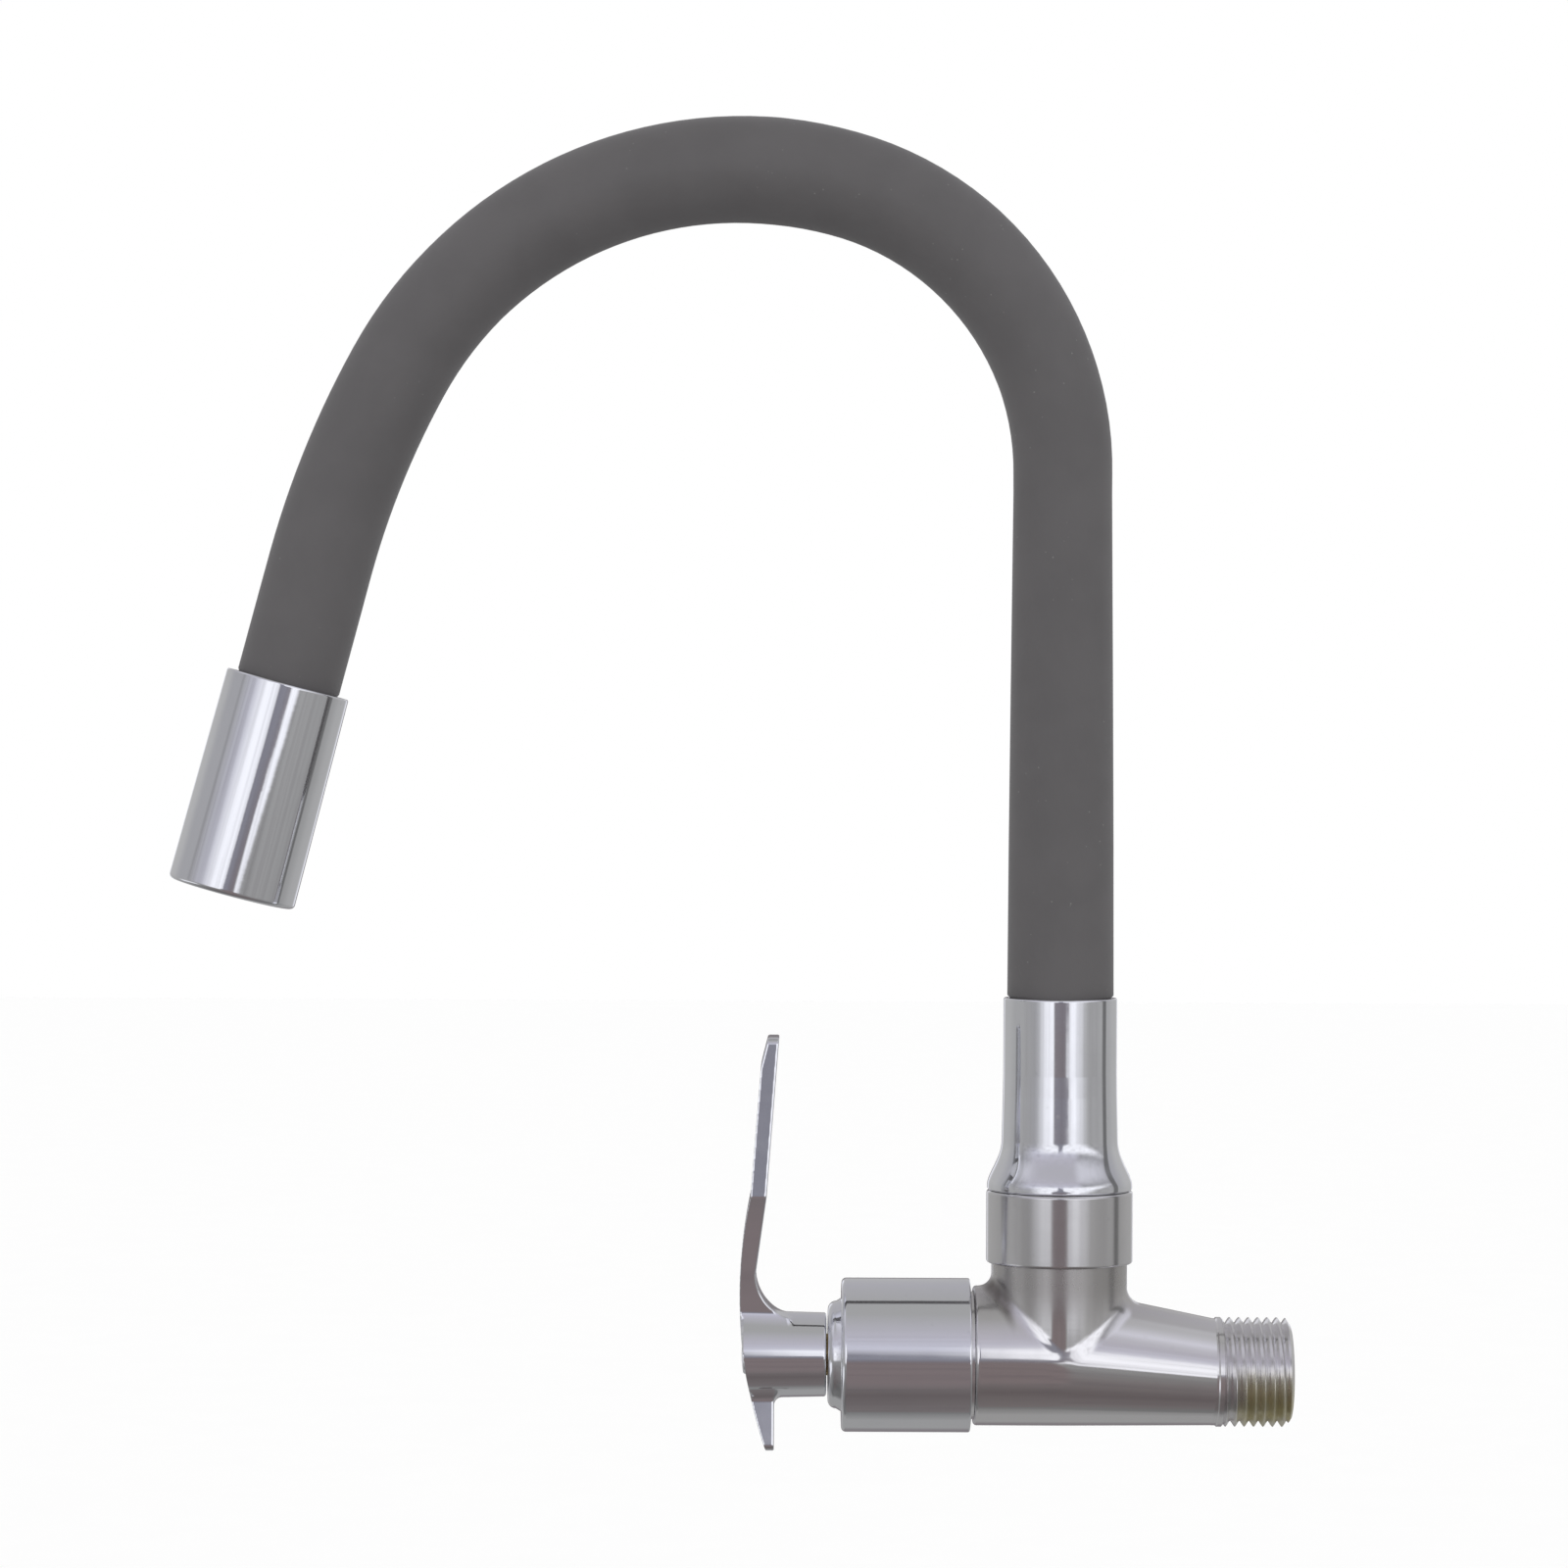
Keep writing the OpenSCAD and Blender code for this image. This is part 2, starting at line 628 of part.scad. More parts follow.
module spline() {
    linear_extrude(height = spindle_end - spline_at) polygon([
        for (i = [0:4 * spline_teeth - 1]) let (a = (i + 0.5) * 90 / spline_teeth,
            r = spindle_r - slip_fit / 2 - (i % 4 < 2 ? 0 : spline_depth)) [r * cos(a), r * sin(a)]
    ]);
}

module spindle() {
    color([0.80, 0.68, 0.38]) difference() {
        union() {
            toward_lever(driver_at) cylinder(r = disc_r - slip_fit, h = driver_t);
            toward_lever(driver_at) cylinder(r = spindle_r, h = spline_at - driver_at);
            toward_lever(spline_at) spline();
            for (a = [0, 180]) toward_lever(driver_at - key_h + slip_fit) rotate([0, 0, a])
                translate([disc_r * 0.72, slip_fit - key_w / 2, 0])
                    cube([disc_r * 0.2, key_w - 2 * slip_fit, 2 * key_h]);
        }
        for (a = [90, 270]) toward_lever(driver_at - 2) rotate([0, 0, a])
            translate([spindle_r + air_gap, -disc_r, 0]) cube([disc_r, disc_d, driver_t + 3]);
        for (d = spindle_ring_at) toward_lever(d - spindle_ring_t / 2 - slip_fit)
            tube(spindle_r + 1, spindle_r - spindle_ring_t - 2 * face_fit, spindle_ring_t + 2 * slip_fit);
        toward_lever(clip_at) tube(spindle_r + 1, spindle_r - clip_t * 0.9, clip_t + slip_fit);
        toward_lever(spindle_end - screw_l) cylinder(r = screw_r + slip_fit, h = screw_l + 1);
    }
}

module friction_washer() {
    color([0.90, 0.88, 0.80]) toward_lever(washer_at)
        tube(disc_r - air_gap, spindle_r + slip_fit, washer_t);
}

module spindle_o_rings() {
    color([0.11, 0.11, 0.12]) for (d = spindle_ring_at) toward_lever(d)
        o_ring(spindle_ring_r, spindle_ring_t);
}

module spindle_clip() {
    color([0.62, 0.63, 0.65]) toward_lever(clip_at + slip_fit / 2) difference() {
        tube(spindle_r + clip_w, spindle_r - clip_t * 0.8, clip_t);
        translate([0, -spindle_r * 0.4, -1]) cube([spindle_d, spindle_r * 0.8, clip_t + 2]);
    }
}

// side outline of the blade, as X and height
function bow_outline() = [
    for (i = [0:2 * arc_steps])
        let (z = crease_z - (crease_z + lever_down) * i / (2 * arc_steps))
        [-bow_at + bow_r - sqrt(bow_r * bow_r - (z - bow_z) * (z - bow_z)), z]
];
blade_in = -bow_at + blade_t * 1.15;
tail_in = -bow_at + tail_out + tail_t;
root_z = hub_r + root_r * 0.82;
crease_x = -bow_at + crease_out;
tip_x = crease_x + blade_back;
function blade_outline() = concat(
    bow_outline(),
    [[tail_in - lead_in, -lever_down], [tail_in, -lever_down + lead_in], [tail_in, -hub_r * 0.93]],
    [[blade_in + root_r * 0.66, hub_r * 0.884]],
    arc_points([blade_in + root_r, root_z], root_r, 250, 180),
    [[crease_x + blade_t, crease_z]],
    [[tip_x + blade_t, lever_up - blade_t * 0.15], [tip_x + blade_t * 0.85, lever_up]],
    [[tip_x + blade_t * 0.55, lever_up], [tip_x - blade_t * 0.075, lever_up - blade_t * 1.26]]
);

// half width of the lever between its waist and its crease
function flank(t) = waist_w / 2 + (blade_w - waist_w) * (1 - cos(180 * t)) / 4;

// one side of the lever's front outline from the tip down to the tail, as half width and height
function blade_side() = concat(
    arc_points([tip_w / 2 - corner_r, lever_up - corner_r], corner_r, 90, 0),
    [for (i = [0:arc_steps]) let (t = 1 - i / arc_steps) [flank(t), hub_r + (crease_z - hub_r) * t]],
    [[waist_w / 2, -hub_r]],
    arc_points([tail_w / 2 - corner_r, -lever_down + corner_r], corner_r, 0, -90)
);

// front outline of the lever, as depth and height
function blade_front() = let (side = blade_side(), n = len(side))
    concat(side, [for (i = [1:n]) [-side[n - i][0], side[n - i][1]]]);

module blade_plate(inset) {
    translate([inset, 0, axis_rise]) rotate([90, 0, 0]) linear_extrude(height = 2 * blade_w, center = true)
        polygon(blade_outline());
}

module lever_handle() {
    color([0.83, 0.84, 0.86]) difference() {
        union() {
            intersection() {
                blade_plate(0);
                translate([-bow_at - blade_t, 0, axis_rise]) rotate([90, 0, 90])
                    linear_extrude(height = blade_reach) polygon(blade_front());
            }
            toward_lever(hub_at) cylinder(r1 = hub_r - hub_taper, r2 = hub_r, h = hub_end - hub_at);
        }
        toward_lever(hub_at - 1) cylinder(r = spindle_r + slip_fit, h = web_at - hub_at + 1);
        toward_lever(web_at - 1) cylinder(r = screw_r + slip_fit, h = web_t + 2);
        toward_lever(web_at + web_t) cylinder(r = cap_r + slip_fit, h = hub_l);
    }
}

module handle_screw() {
    color([0.60, 0.61, 0.63]) difference() {
        union() {
            toward_lever(web_at + web_t + face_fit) cylinder(r = screw_head_r, h = screw_head_h);
            toward_lever(spindle_end - screw_l + 1)
                cylinder(r = screw_r, h = web_at + web_t - spindle_end + screw_l);
        }
        toward_lever(web_at + web_t + screw_head_h * 0.4)
            cylinder(r = screw_head_r / 2, h = screw_head_h, $fn = 6);
    }
}

module index_cap() {
    color([0.80, 0.81, 0.83]) intersection() {
        toward_lever(cap_at) cylinder(r = cap_r, h = hub_l);
        blade_plate(face_fit);
    }
}

module spout_tail() {
    color([0.79, 0.66, 0.36]) difference() {
        union() {
            on_spout(tail_foot) cylinder(r = tail_r, h = flange_end - tail_foot);
            on_spout(flange_at) cylinder(r = flange_r, h = flange_end - flange_at);
            on_spout(flange_at) cylinder(r = throat_r, h = riser_step - flange_at);
            on_spout(riser_step - 1) cylinder(r = barb_r, h = barb_l * 1.1);
        }
        on_spout(tail_foot - 1) cylinder(d = tail_bore_d, h = riser_step + barb_l + 4);
        for (z = tail_ring_at) on_spout(z - slip_fit)
            tube(tail_r + 1, tail_r - tail_ring_t, tail_ring_t + 2 * slip_fit);
        for (i = [1:3]) on_spout(barb_foot + i * barb_l / 4)
            tube(barb_r + 1, barb_r - 2 * slip_fit, barb_l / 15);
    }
}

module tail_o_rings() {
    color([0.10, 0.10, 0.10]) for (z = tail_ring_at) on_spout(z + tail_ring_t / 2)
        o_ring(tail_ring_r, tail_ring_t);
}

module glide_rings() {
    color([0.93, 0.92, 0.88]) {
        on_spout(low_glide_at) tube(flange_r, tail_r + slip_fit, glide_t);
        on_spout(high_glide_at) tube(flange_r, throat_r + slip_fit, glide_t);
    }
}

// outline of the riser's skin, from the flared foot up to the mouth
neck_in_r = riser_r + riser_wall / 4;
function riser_outline() = concat(
    [[riser_foot_r - edge, 0], [riser_foot_r, edge]],
    [
        for (i = [0:arc_steps]) let (t = i / arc_steps, k = (1 + cos(180 * pow(t, 0.8))) / 2)
            [neck_in_r + (riser_foot_r - neck_in_r) * k, flare_h * (0.085 + 0.915 * t)]
    ],
    [[riser_r, riser_h * 0.6], [riser_r, riser_h - edge], [riser_r - edge, riser_h]]
);

module riser_ferrule() {
    color([0.82, 0.83, 0.85]) on_spout(riser_at) rotate_extrude() polygon(concat(
        riser_outline(),
        [
            [riser_in_r, riser_h], [riser_in_r, riser_h - hose_in - air_gap],
            [throat_r + slip_fit, riser_h - hose_in - air_gap], [throat_r + slip_fit, 0]
        ]
    ));
}

// stainless ferrule pressed round the inner hose
module crimp_ring() {
    color([0.70, 0.71, 0.73]) difference() {
        tube(crimp_r, crimp_in_r, crimp_l);
        for (i = [0, 1]) translate([0, 0, crimp_l * (0.28 + 0.32 * i)])
            tube(crimp_r + 1, crimp_r - edge, crimp_l / 8);
    }
}

module lower_crimp_ring() {
    on_spout(crimp_at) crimp_ring();
}

module silicone_sleeve() {
    color([0.36, 0.355, 0.36]) hose_piece(0, hose_l, hose_r, hose_in_r);
}

module inner_hose() {
    color([0.88, 0.90, 0.90]) hose_piece(liner_from, liner_to, liner_r, liner_in_r);
}

module support_tube(i) {
    from = i == 1 ? support_from : hinge(i - 1) + section_gap / 2;
    to = i == sections ? support_to : hinge(i) - section_gap / 2;
    color([0.55, 0.56, 0.58]) hose_piece(from, to, support_r, support_in_r);
}

module support_tube_1() {
    support_tube(1);
}

module support_tube_2() {
    support_tube(2);
}

module support_tube_3() {
    support_tube(3);
}

module support_tube_4() {
    support_tube(4);
}

module support_tube_5() {
    support_tube(5);
}

module support_tube_6() {
    support_tube(6);
}

module support_tube_7() {
    support_tube(7);
}

module upper_crimp_ring() {
    on_outlet(upper_crimp_at) crimp_ring();
}

module outlet_nipple() {
    color([0.79, 0.66, 0.36]) on_outlet(0) difference() {
        union() {
            translate([0, 0, nipple_at]) cylinder(r = nipple_r, h = nipple_h);
            translate([0, 0, nipple_at - barb_l]) cylinder(r = barb_r, h = barb_l + 1);
        }
        translate([0, 0, nipple_at - barb_l - 1]) cylinder(d = tail_bore_d, h = barb_l + nipple_h + 2);
        for (i = [0:2]) translate([0, 0, nipple_at - barb_l * (0.32 + i / 4)])
            tube(barb_r + 1, barb_r - 2 * slip_fit, barb_l / 15);
    }
}

module outlet_shell() {
    foot_r = outlet_r + outlet_flare;
    color([0.82, 0.83, 0.85]) on_outlet(0) rotate_extrude() polygon(concat(
        [[outlet_in_r, 0], [outlet_r - edge, 0], [outlet_r, edge]],
        arc_points([foot_r - outlet_edge, outlet_l - outlet_edge], outlet_edge, 0, 80),
        [[outlet_well_r, outlet_l], [outlet_well_r, outlet_step], [outlet_in_r, outlet_step]]
    ));
}

module aerator_gasket() {
    color([0.13, 0.13, 0.14]) on_outlet(gasket_at) tube(aerator_r, aerator_r - gasket_w, gasket_t);
}

module aerator_housing() {
    color([0.90, 0.90, 0.88]) on_outlet(aerator_at) difference() {
        cylinder(r = aerator_r, h = aerator_h);
        translate([0, 0, aerator_wall * 1.5]) cylinder(r = aerator_in_r, h = aerator_h);
        for (i = [0:7]) rotate([0, 0, i * 45]) translate([aerator_r * 0.42, 0, -1])
            cylinder(r = aerator_r * 0.1, h = aerator_wall * 1.5 + 2);
    }
}

module aerator_screen() {
    color([0.80, 0.80, 0.79]) on_outlet(screen_at) difference() {
        cylinder(r = aerator_in_r - slip_fit, h = screen_t);
        for (k = [1:3], i = [0:6 * k - 1]) rotate([0, 0, i * 60 / k])
            translate([k * aerator_in_r * 0.29, 0, -1]) cylinder(r = aerator_in_r * 0.1, h = screen_t + 2);
    }
}

module aerator_ring() {
    color([0.81, 0.82, 0.84]) on_outlet(ring_at) difference() {
        tube(nipple_r, aerator_in_r - aerator_wall * 0.8, ring_h);
        for (a = [0, 90]) rotate([0, 0, a]) translate([-nipple_r - 1, -ring_h * 0.3, ring_h * 0.74])
            cube([2 * nipple_r + 2, ring_h * 0.6, ring_h]);
    }
}

tap_body();
cartridge_seal();
fixed_disc();
cartridge_housing();
housing_o_ring();
bonnet_sleeve();
union_nut();
moving_disc();
spindle();
friction_washer();
spindle_o_rings();
spindle_clip();
lever_handle();
handle_screw();
index_cap();
spout_tail();
tail_o_rings();
glide_rings();
riser_ferrule();
lower_crimp_ring();
silicone_sleeve();
inner_hose();
support_tube_1();
support_tube_2();
support_tube_3();
support_tube_4();
support_tube_5();
support_tube_6();
support_tube_7();
upper_crimp_ring();
outlet_nipple();
outlet_shell();
aerator_gasket();
aerator_housing();
aerator_screen();
aerator_ring();
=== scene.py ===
"""Wall-mounted utility sink faucet with a flexible gooseneck spout: visual pieces, finishes and stage."""

import math

import bpy
import numpy as np
from bpy.props import FloatProperty, FloatVectorProperty, IntProperty, PointerProperty
from bpy.types import Operator, Panel, PropertyGroup
from mathutils import Matrix, Vector


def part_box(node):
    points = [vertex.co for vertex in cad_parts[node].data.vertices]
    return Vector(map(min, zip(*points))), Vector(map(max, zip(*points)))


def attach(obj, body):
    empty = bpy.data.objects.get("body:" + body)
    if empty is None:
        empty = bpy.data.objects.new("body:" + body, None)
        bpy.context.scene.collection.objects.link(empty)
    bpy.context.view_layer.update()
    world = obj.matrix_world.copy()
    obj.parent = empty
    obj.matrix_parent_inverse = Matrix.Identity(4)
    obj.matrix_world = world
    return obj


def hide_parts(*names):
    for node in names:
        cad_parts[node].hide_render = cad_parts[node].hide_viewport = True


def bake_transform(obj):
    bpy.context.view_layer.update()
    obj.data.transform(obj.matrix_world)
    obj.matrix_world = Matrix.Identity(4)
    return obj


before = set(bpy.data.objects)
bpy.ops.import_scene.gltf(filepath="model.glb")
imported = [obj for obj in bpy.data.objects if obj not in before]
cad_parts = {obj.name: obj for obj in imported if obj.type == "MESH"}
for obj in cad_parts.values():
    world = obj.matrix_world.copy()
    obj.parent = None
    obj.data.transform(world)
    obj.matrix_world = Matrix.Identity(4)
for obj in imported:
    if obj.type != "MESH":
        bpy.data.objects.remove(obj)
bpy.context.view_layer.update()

bl_info = {
    "name": "Utility sink faucet",
    "version": (1, 0, 0),
    "blender": (4, 5, 0),
    "location": "3D View > Sidebar > Faucet",
    "description": "Builds the visual pieces of a wall-mounted faucet with a flexible spout",
    "category": "Object",
}

# Modelling is done in millimetres; each finished piece is scaled to metres.
MM = 0.001
LATHE_STEPS = 96
FINE_STEPS = 128
SMALL_STEPS = 64
# Points closer than this are one point
DOUBLES = 1e-4
# Distance from a straight's ends to the points that keep it flat in smooth shading
HOLD = 0.12
# Radius of the pinhole left at the axis of a solid turned piece
PIN = 0.05
INTO_WALL = (1, 0, 0)
OUT_OF_WALL = (-1, 0, 0)
UP = (0, 0, 1)


def length(label, text, value):
    """A size in metres that a user may change."""
    return FloatProperty(name=label, description=text, default=value, unit="LENGTH", precision=5)


def colour(label, text, value):
    """A scene-linear colour that a user may change."""
    return FloatVectorProperty(name=label, description=text, default=value, subtype="COLOR", min=0, max=1)


class FaucetSizes(PropertyGroup):
    """Sizes of the pieces that show."""

    spout_x: length("Spout axis", "Place of the spout's axis along the wall axis", -0.030)
    barrel_rise: length("Barrel rise", "Height of the barrel's axis over the inlet's", 0.003)
    barrel_radius: length("Barrel radius", "Radius of the valve barrel", 0.0134)
    barrel_end: length("Barrel end", "Place of the barrel's open end", -0.0466)
    shoulder_radius: length("Shoulder radius", "Radius of the body where the thread begins", 0.0102)
    neck_radius: length("Neck radius", "Radius of the neck under the union nut", 0.01306)
    body_fillet: length("Body fillet", "Fillet between the barrel and the neck", 0.0026)
    thread_radius: length("Thread radius", "Radius over the crests of the inlet thread", 0.0104775)
    thread_pitch: length("Thread pitch", "Distance from crest to crest", 0.001814)
    thread_depth: length("Thread depth", "Height of the thread's ridges", 0.00116)
    thread_length: length("Thread length", "Length of the inlet thread", 0.0145)
    thread_land: length("Thread land", "Plain length before the first ridge", 0.0016)
    inlet_bore: length("Inlet bore", "Radius of the waterway", 0.0065)
    sleeve_start: length("Sleeve start", "Place of the bonnet sleeve's end at the body", -0.0472)
    sleeve_length: length("Sleeve length", "Length of the bonnet sleeve's cylinder", 0.0247)
    sleeve_radius: length("Sleeve radius", "Outer radius of the bonnet sleeve", 0.01474)
    nose_length: length("Nose length", "Length of the sleeve's nose", 0.0026)
    hub_end: length("Hub end", "Place of the hub's end at the sleeve", -0.0748)
    hub_radius: length("Hub radius", "Radius of the lever's hub at the blade", 0.00842)
    blade_width: length("Blade width", "Width of the lever at its crease", 0.018)
    waist_width: length("Waist width", "Width of the lever above and below the hub", 0.009)
    tip_width: length("Tip width", "Width of the lever's tip", 0.013)
    tail_width: length("Tail width", "Width of the lever's lower end", 0.011)
    lever_edge: length("Lever edge", "Rounding of the lever's edges", 0.00030)
    hose_radius: length("Hose radius", "Outer radius of the silicone sleeve", 0.0098)
    hose_wall: length("Hose wall", "Wall of the silicone sleeve", 0.0023)
    liner_radius: length("Liner radius", "Outer radius of the water hose", 0.0058)
    liner_wall: length("Liner wall", "Wall of the water hose", 0.0018)
    outlet_length: length("Outlet length", "Length of the outlet shell", 0.0418)


class FaucetFinishes(PropertyGroup):
    """Colours of the finishes."""

    chrome: colour("Chrome", "Polished plating", (0.86, 0.865, 0.89))
    body_chrome: colour("Body chrome", "Plating of the cast body and the nut", (0.84, 0.83, 0.835))
    bare_brass: colour("Bare brass", "Metal under the worn plating", (0.78, 0.73, 0.50))
    silicone: colour("Silicone", "Grey of the hose", (0.105, 0.100, 0.103))


class FaucetStage(PropertyGroup):
    """Camera and light."""

    camera_x: length("Camera across", "Camera's place along the wall axis", -0.08344)
    camera_height: length("Camera height", "Camera's height", 0.11285)
    camera_distance: length("Camera distance", "Camera's distance from the faucet", 0.861)
    camera_roll: FloatProperty(name="Camera roll", description="Turn about the view axis",
                               default=math.radians(-0.27), subtype="ANGLE")
    focal_pixels: FloatProperty(name="Focal length", description="Focal length in pixels of the picture",
                                default=4560)
    picture_pixels: IntProperty(name="Picture", description="Width of the picture in pixels", default=1600)
    floor_height: length("Floor height", "Height of the floor", -0.22)


def sizes():
    """The sizes in millimetres, by name."""
    group = bpy.context.scene.faucet_sizes
    return {key: getattr(group, key) / MM for key in FaucetSizes.__annotations__}


# Mesh tools

def deselect():
    """Leaves edit mode with nothing selected."""
    if bpy.context.object and bpy.context.object.mode != "OBJECT":
        bpy.ops.object.mode_set(mode="OBJECT")
    bpy.ops.object.select_all(action="DESELECT")


def pick(piece):
    """Makes piece the only selected, active object."""
    deselect()
    piece.select_set(True)
    bpy.context.view_layer.objects.active = piece


def added(name):
    """Names the primitive that was just added."""
    piece = bpy.context.object
    piece.name = name
    piece.data.name = name
    return piece


def joined(name, pieces):
    """Joins the pieces' meshes into one object."""
    deselect()
    for piece in pieces:
        piece.select_set(True)
    bpy.context.view_layer.objects.active = pieces[0]
    bpy.ops.object.join()
    bpy.ops.object.transform_apply(location=True, rotation=True, scale=True)
    return added(name)


def finished(piece, angle=35):
    """Puts a piece's place into its mesh, in metres, with its edges sharp above an angle."""
    pick(piece)
    bpy.ops.object.transform_apply(location=True, rotation=True, scale=True)
    bpy.ops.transform.resize(value=(MM, MM, MM), center_override=(0, 0, 0))
    bpy.ops.object.transform_apply(location=True, rotation=True, scale=True)
    bpy.ops.object.shade_smooth_by_angle(angle=math.radians(angle))
    deselect()
    return piece


def placed(piece, origin, axis):
    """Lays a piece that was modelled along Z on an axis that starts at origin."""
    z = Vector(axis).normalized()
    x = z.orthogonal().normalized()
    turn = Matrix((x, z.cross(x), z)).transposed().to_4x4()
    pick(piece)
    piece.matrix_world = Matrix.Translation(Vector(origin)) @ turn
    bpy.ops.object.transform_apply(location=True, rotation=True, scale=True)
    return piece


def arc(centre, radius, start, end, steps):
    """Points of a circular arc in the outline's plane; angles in degrees."""
    return [(centre[0] + radius * math.cos(math.radians(start + (end - start) * i / steps)),
             centre[1] + radius * math.sin(math.radians(start + (end - start) * i / steps)))
            for i in range(steps + 1)]


def held(outline):
    """The closed outline with a point just inside each end of its long straights."""
    ends = [Vector((r, 0, z)) for r, z in [*outline, outline[0]]]
    points = ends[:1]
    for here, there in zip(ends, ends[1:]):
        step = (there - here).normalized() * HOLD
        if (there - here).length > 10 * HOLD:
            points += [here + step, there - step]
        points.append(there)
    return points


def editing(piece):
    """Opens a piece in edit mode with all of it selected."""
    pick(piece)
    bpy.ops.object.mode_set(mode="EDIT")
    bpy.ops.mesh.select_all(action="SELECT")


def drawn(name, points):
    """Draws a line through the points and leaves it in edit mode."""
    deselect()
    bpy.ops.mesh.primitive_plane_add(size=0.1)
    piece = added(name)
    editing(piece)
    bpy.ops.mesh.merge(type="CENTER")
    bpy.ops.transform.translate(value=points[0])
    for here, there in zip(points, points[1:]):
        bpy.ops.mesh.extrude_region_move(TRANSFORM_OT_translate={"value": there - here})
    return piece


def turned(name, outline, steps=LATHE_STEPS):
    """Spins a closed outline of (radius, height) points about Z, as on a lathe."""
    piece = drawn(name, held(outline))
    bpy.ops.mesh.select_all(action="SELECT")
    bpy.ops.mesh.remove_doubles(threshold=DOUBLES)
    bpy.ops.mesh.spin(steps=steps, angle=2 * math.pi, center=(0, 0, 0), axis=(0, 0, 1))
    bpy.ops.mesh.select_all(action="SELECT")
    bpy.ops.mesh.remove_doubles(threshold=DOUBLES)
    bpy.ops.mesh.normals_make_consistent(inside=False)
    bpy.ops.object.mode_set(mode="OBJECT")
    return piece


def applied(piece, kind, **settings):
    """Adds a modifier with its settings and applies it."""
    pick(piece)
    modifier = piece.modifiers.new(kind.title(), kind)
    for key, value in settings.items():
        setattr(modifier, key, value)
    bpy.ops.object.modifier_apply(modifier=modifier.name)


def cut(piece, cutter, operation="DIFFERENCE"):
    """Cuts a piece with another, which is then removed."""
    applied(piece, "BOOLEAN", operation=operation, object=cutter, solver="EXACT")
    pick(cutter)
    bpy.ops.object.delete()


def trimmed(piece, point, normal):
    """Cuts off what lies beyond a plane and closes the cut."""
    editing(piece)
    bpy.ops.mesh.bisect(plane_co=point, plane_no=normal, use_fill=True, clear_outer=True)
    bpy.ops.object.mode_set(mode="OBJECT")


def points_of(piece):
    """The mesh's points as rows of x, y, z."""
    rows = np.empty(len(piece.data.vertices) * 3)
    piece.data.vertices.foreach_get("co", rows)
    return rows.reshape(-1, 3)


def set_points(piece, rows):
    """Moves the mesh's points to the rows."""
    piece.data.vertices.foreach_set("co", np.asarray(rows, dtype=float).ravel())
    piece.data.update()


def cast(piece, cell, surface, passes=8):
    """Skins a rough joined blank with even quads and draws them onto the smooth surface of a casting.

    The surface is negative inside and grows with the distance outwards."""
    step, least_steep = 1e-3, 0.2
    pick(piece)
    piece.data.remesh_voxel_size = cell
    bpy.ops.object.voxel_remesh()
    p = points_of(piece)
    for _ in range(passes):
        value = surface(*p.T)
        slope = np.stack([(surface(*(p + d).T) - surface(*(p - d).T)) / (2 * step)
                          for d in step * np.eye(3)], axis=1)
        steepness = np.maximum((slope ** 2).sum(axis=1), least_steep)
        p -= np.clip(value / steepness, -cell, cell)[:, None] * slope
    set_points(piece, p)
    return piece


def rounded_meet(a, b, radius):
    """Where two solids overlap, with the edge rounded."""
    u = np.maximum(a + radius, 0)
    v = np.maximum(b + radius, 0)
    return np.where((u > 0) & (v > 0), np.hypot(u, v) - radius, np.maximum(a, b))


def filleted_join(a, b, radius):
    """Two solids together, with a fillet between them."""
    return -rounded_meet(-a, -b, radius)


def blank_rod(start, end, radius, end_radius=None):
    """A plain round blank from start to end, for a casting to be drawn from."""
    deselect()
    a = Vector(start)
    run = Vector(end) - a
    bpy.ops.mesh.primitive_cone_add(vertices=48, radius1=radius, radius2=end_radius or radius,
                                    depth=run.length, location=a + run / 2,
                                    rotation=run.to_track_quat("Z", "Y").to_euler())
    return bpy.context.object


def lofted(name, rings):
    """A closed skin through rings of points, all of one count."""
    count = len(rings[0])
    deselect()
    bpy.ops.mesh.primitive_circle_add(vertices=count, radius=1, fill_type="NOTHING")
    piece = added(name)
    editing(piece)
    for _ in rings[1:]:
        bpy.ops.mesh.extrude_region_move(TRANSFORM_OT_translate={"value": (0, 0, 1)})
    bpy.ops.mesh.select_all(action="SELECT")
    bpy.ops.mesh.fill_holes(sides=count)
    bpy.ops.object.mode_set(mode="OBJECT")
    at = points_of(piece)
    around = np.rint(np.arctan2(at[:, 0], at[:, 1]) * count / (2 * math.pi)).astype(int) % count
    set_points(piece, np.array(rings)[np.rint(at[:, 2]).astype(int), around])
    editing(piece)
    bpy.ops.mesh.normals_make_consistent(inside=False)
    bpy.ops.object.mode_set(mode="OBJECT")
    return piece


def keep(piece, body, finish, node):
    """Gives a finished piece its finish and the body it rides on, if any, and hides the CAD node it stands
    for.
    """
    piece.data.materials.clear()
    piece.data.materials.append(finish)
    if body:
        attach(piece, body)
    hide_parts(node)


# Shader tools

class Value:
    """A shader value that takes part in Python arithmetic by adding Math nodes."""

    def __init__(self, graph, socket):
        self.graph = graph
        self.socket = socket

    def __add__(self, other):
        return self.graph.math("ADD", self, other)

    def __sub__(self, other):
        return self.graph.math("SUBTRACT", self, other)

    def __rsub__(self, other):
        return self.graph.math("SUBTRACT", other, self)

    def __mul__(self, other):
        return self.graph.math("MULTIPLY", self, other)

    def __truediv__(self, other):
        return self.graph.math("DIVIDE", self, other)

    def __pow__(self, other):
        return self.graph.math("POWER", self, other)

    def __abs__(self):
        return self.graph.math("ABSOLUTE", self)

    __rmul__ = __mul__

    def smooth(self, low, high):
        """0 below low, 1 above high and a smooth step between; falls where low is above high."""
        settings = {"interpolation_type": "SMOOTHSTEP"}
        if low > high:
            return 1 - self.smooth(high, low)
        return self.graph.value("ShaderNodeMapRange", settings, Value=self, From_Min=low, From_Max=high)


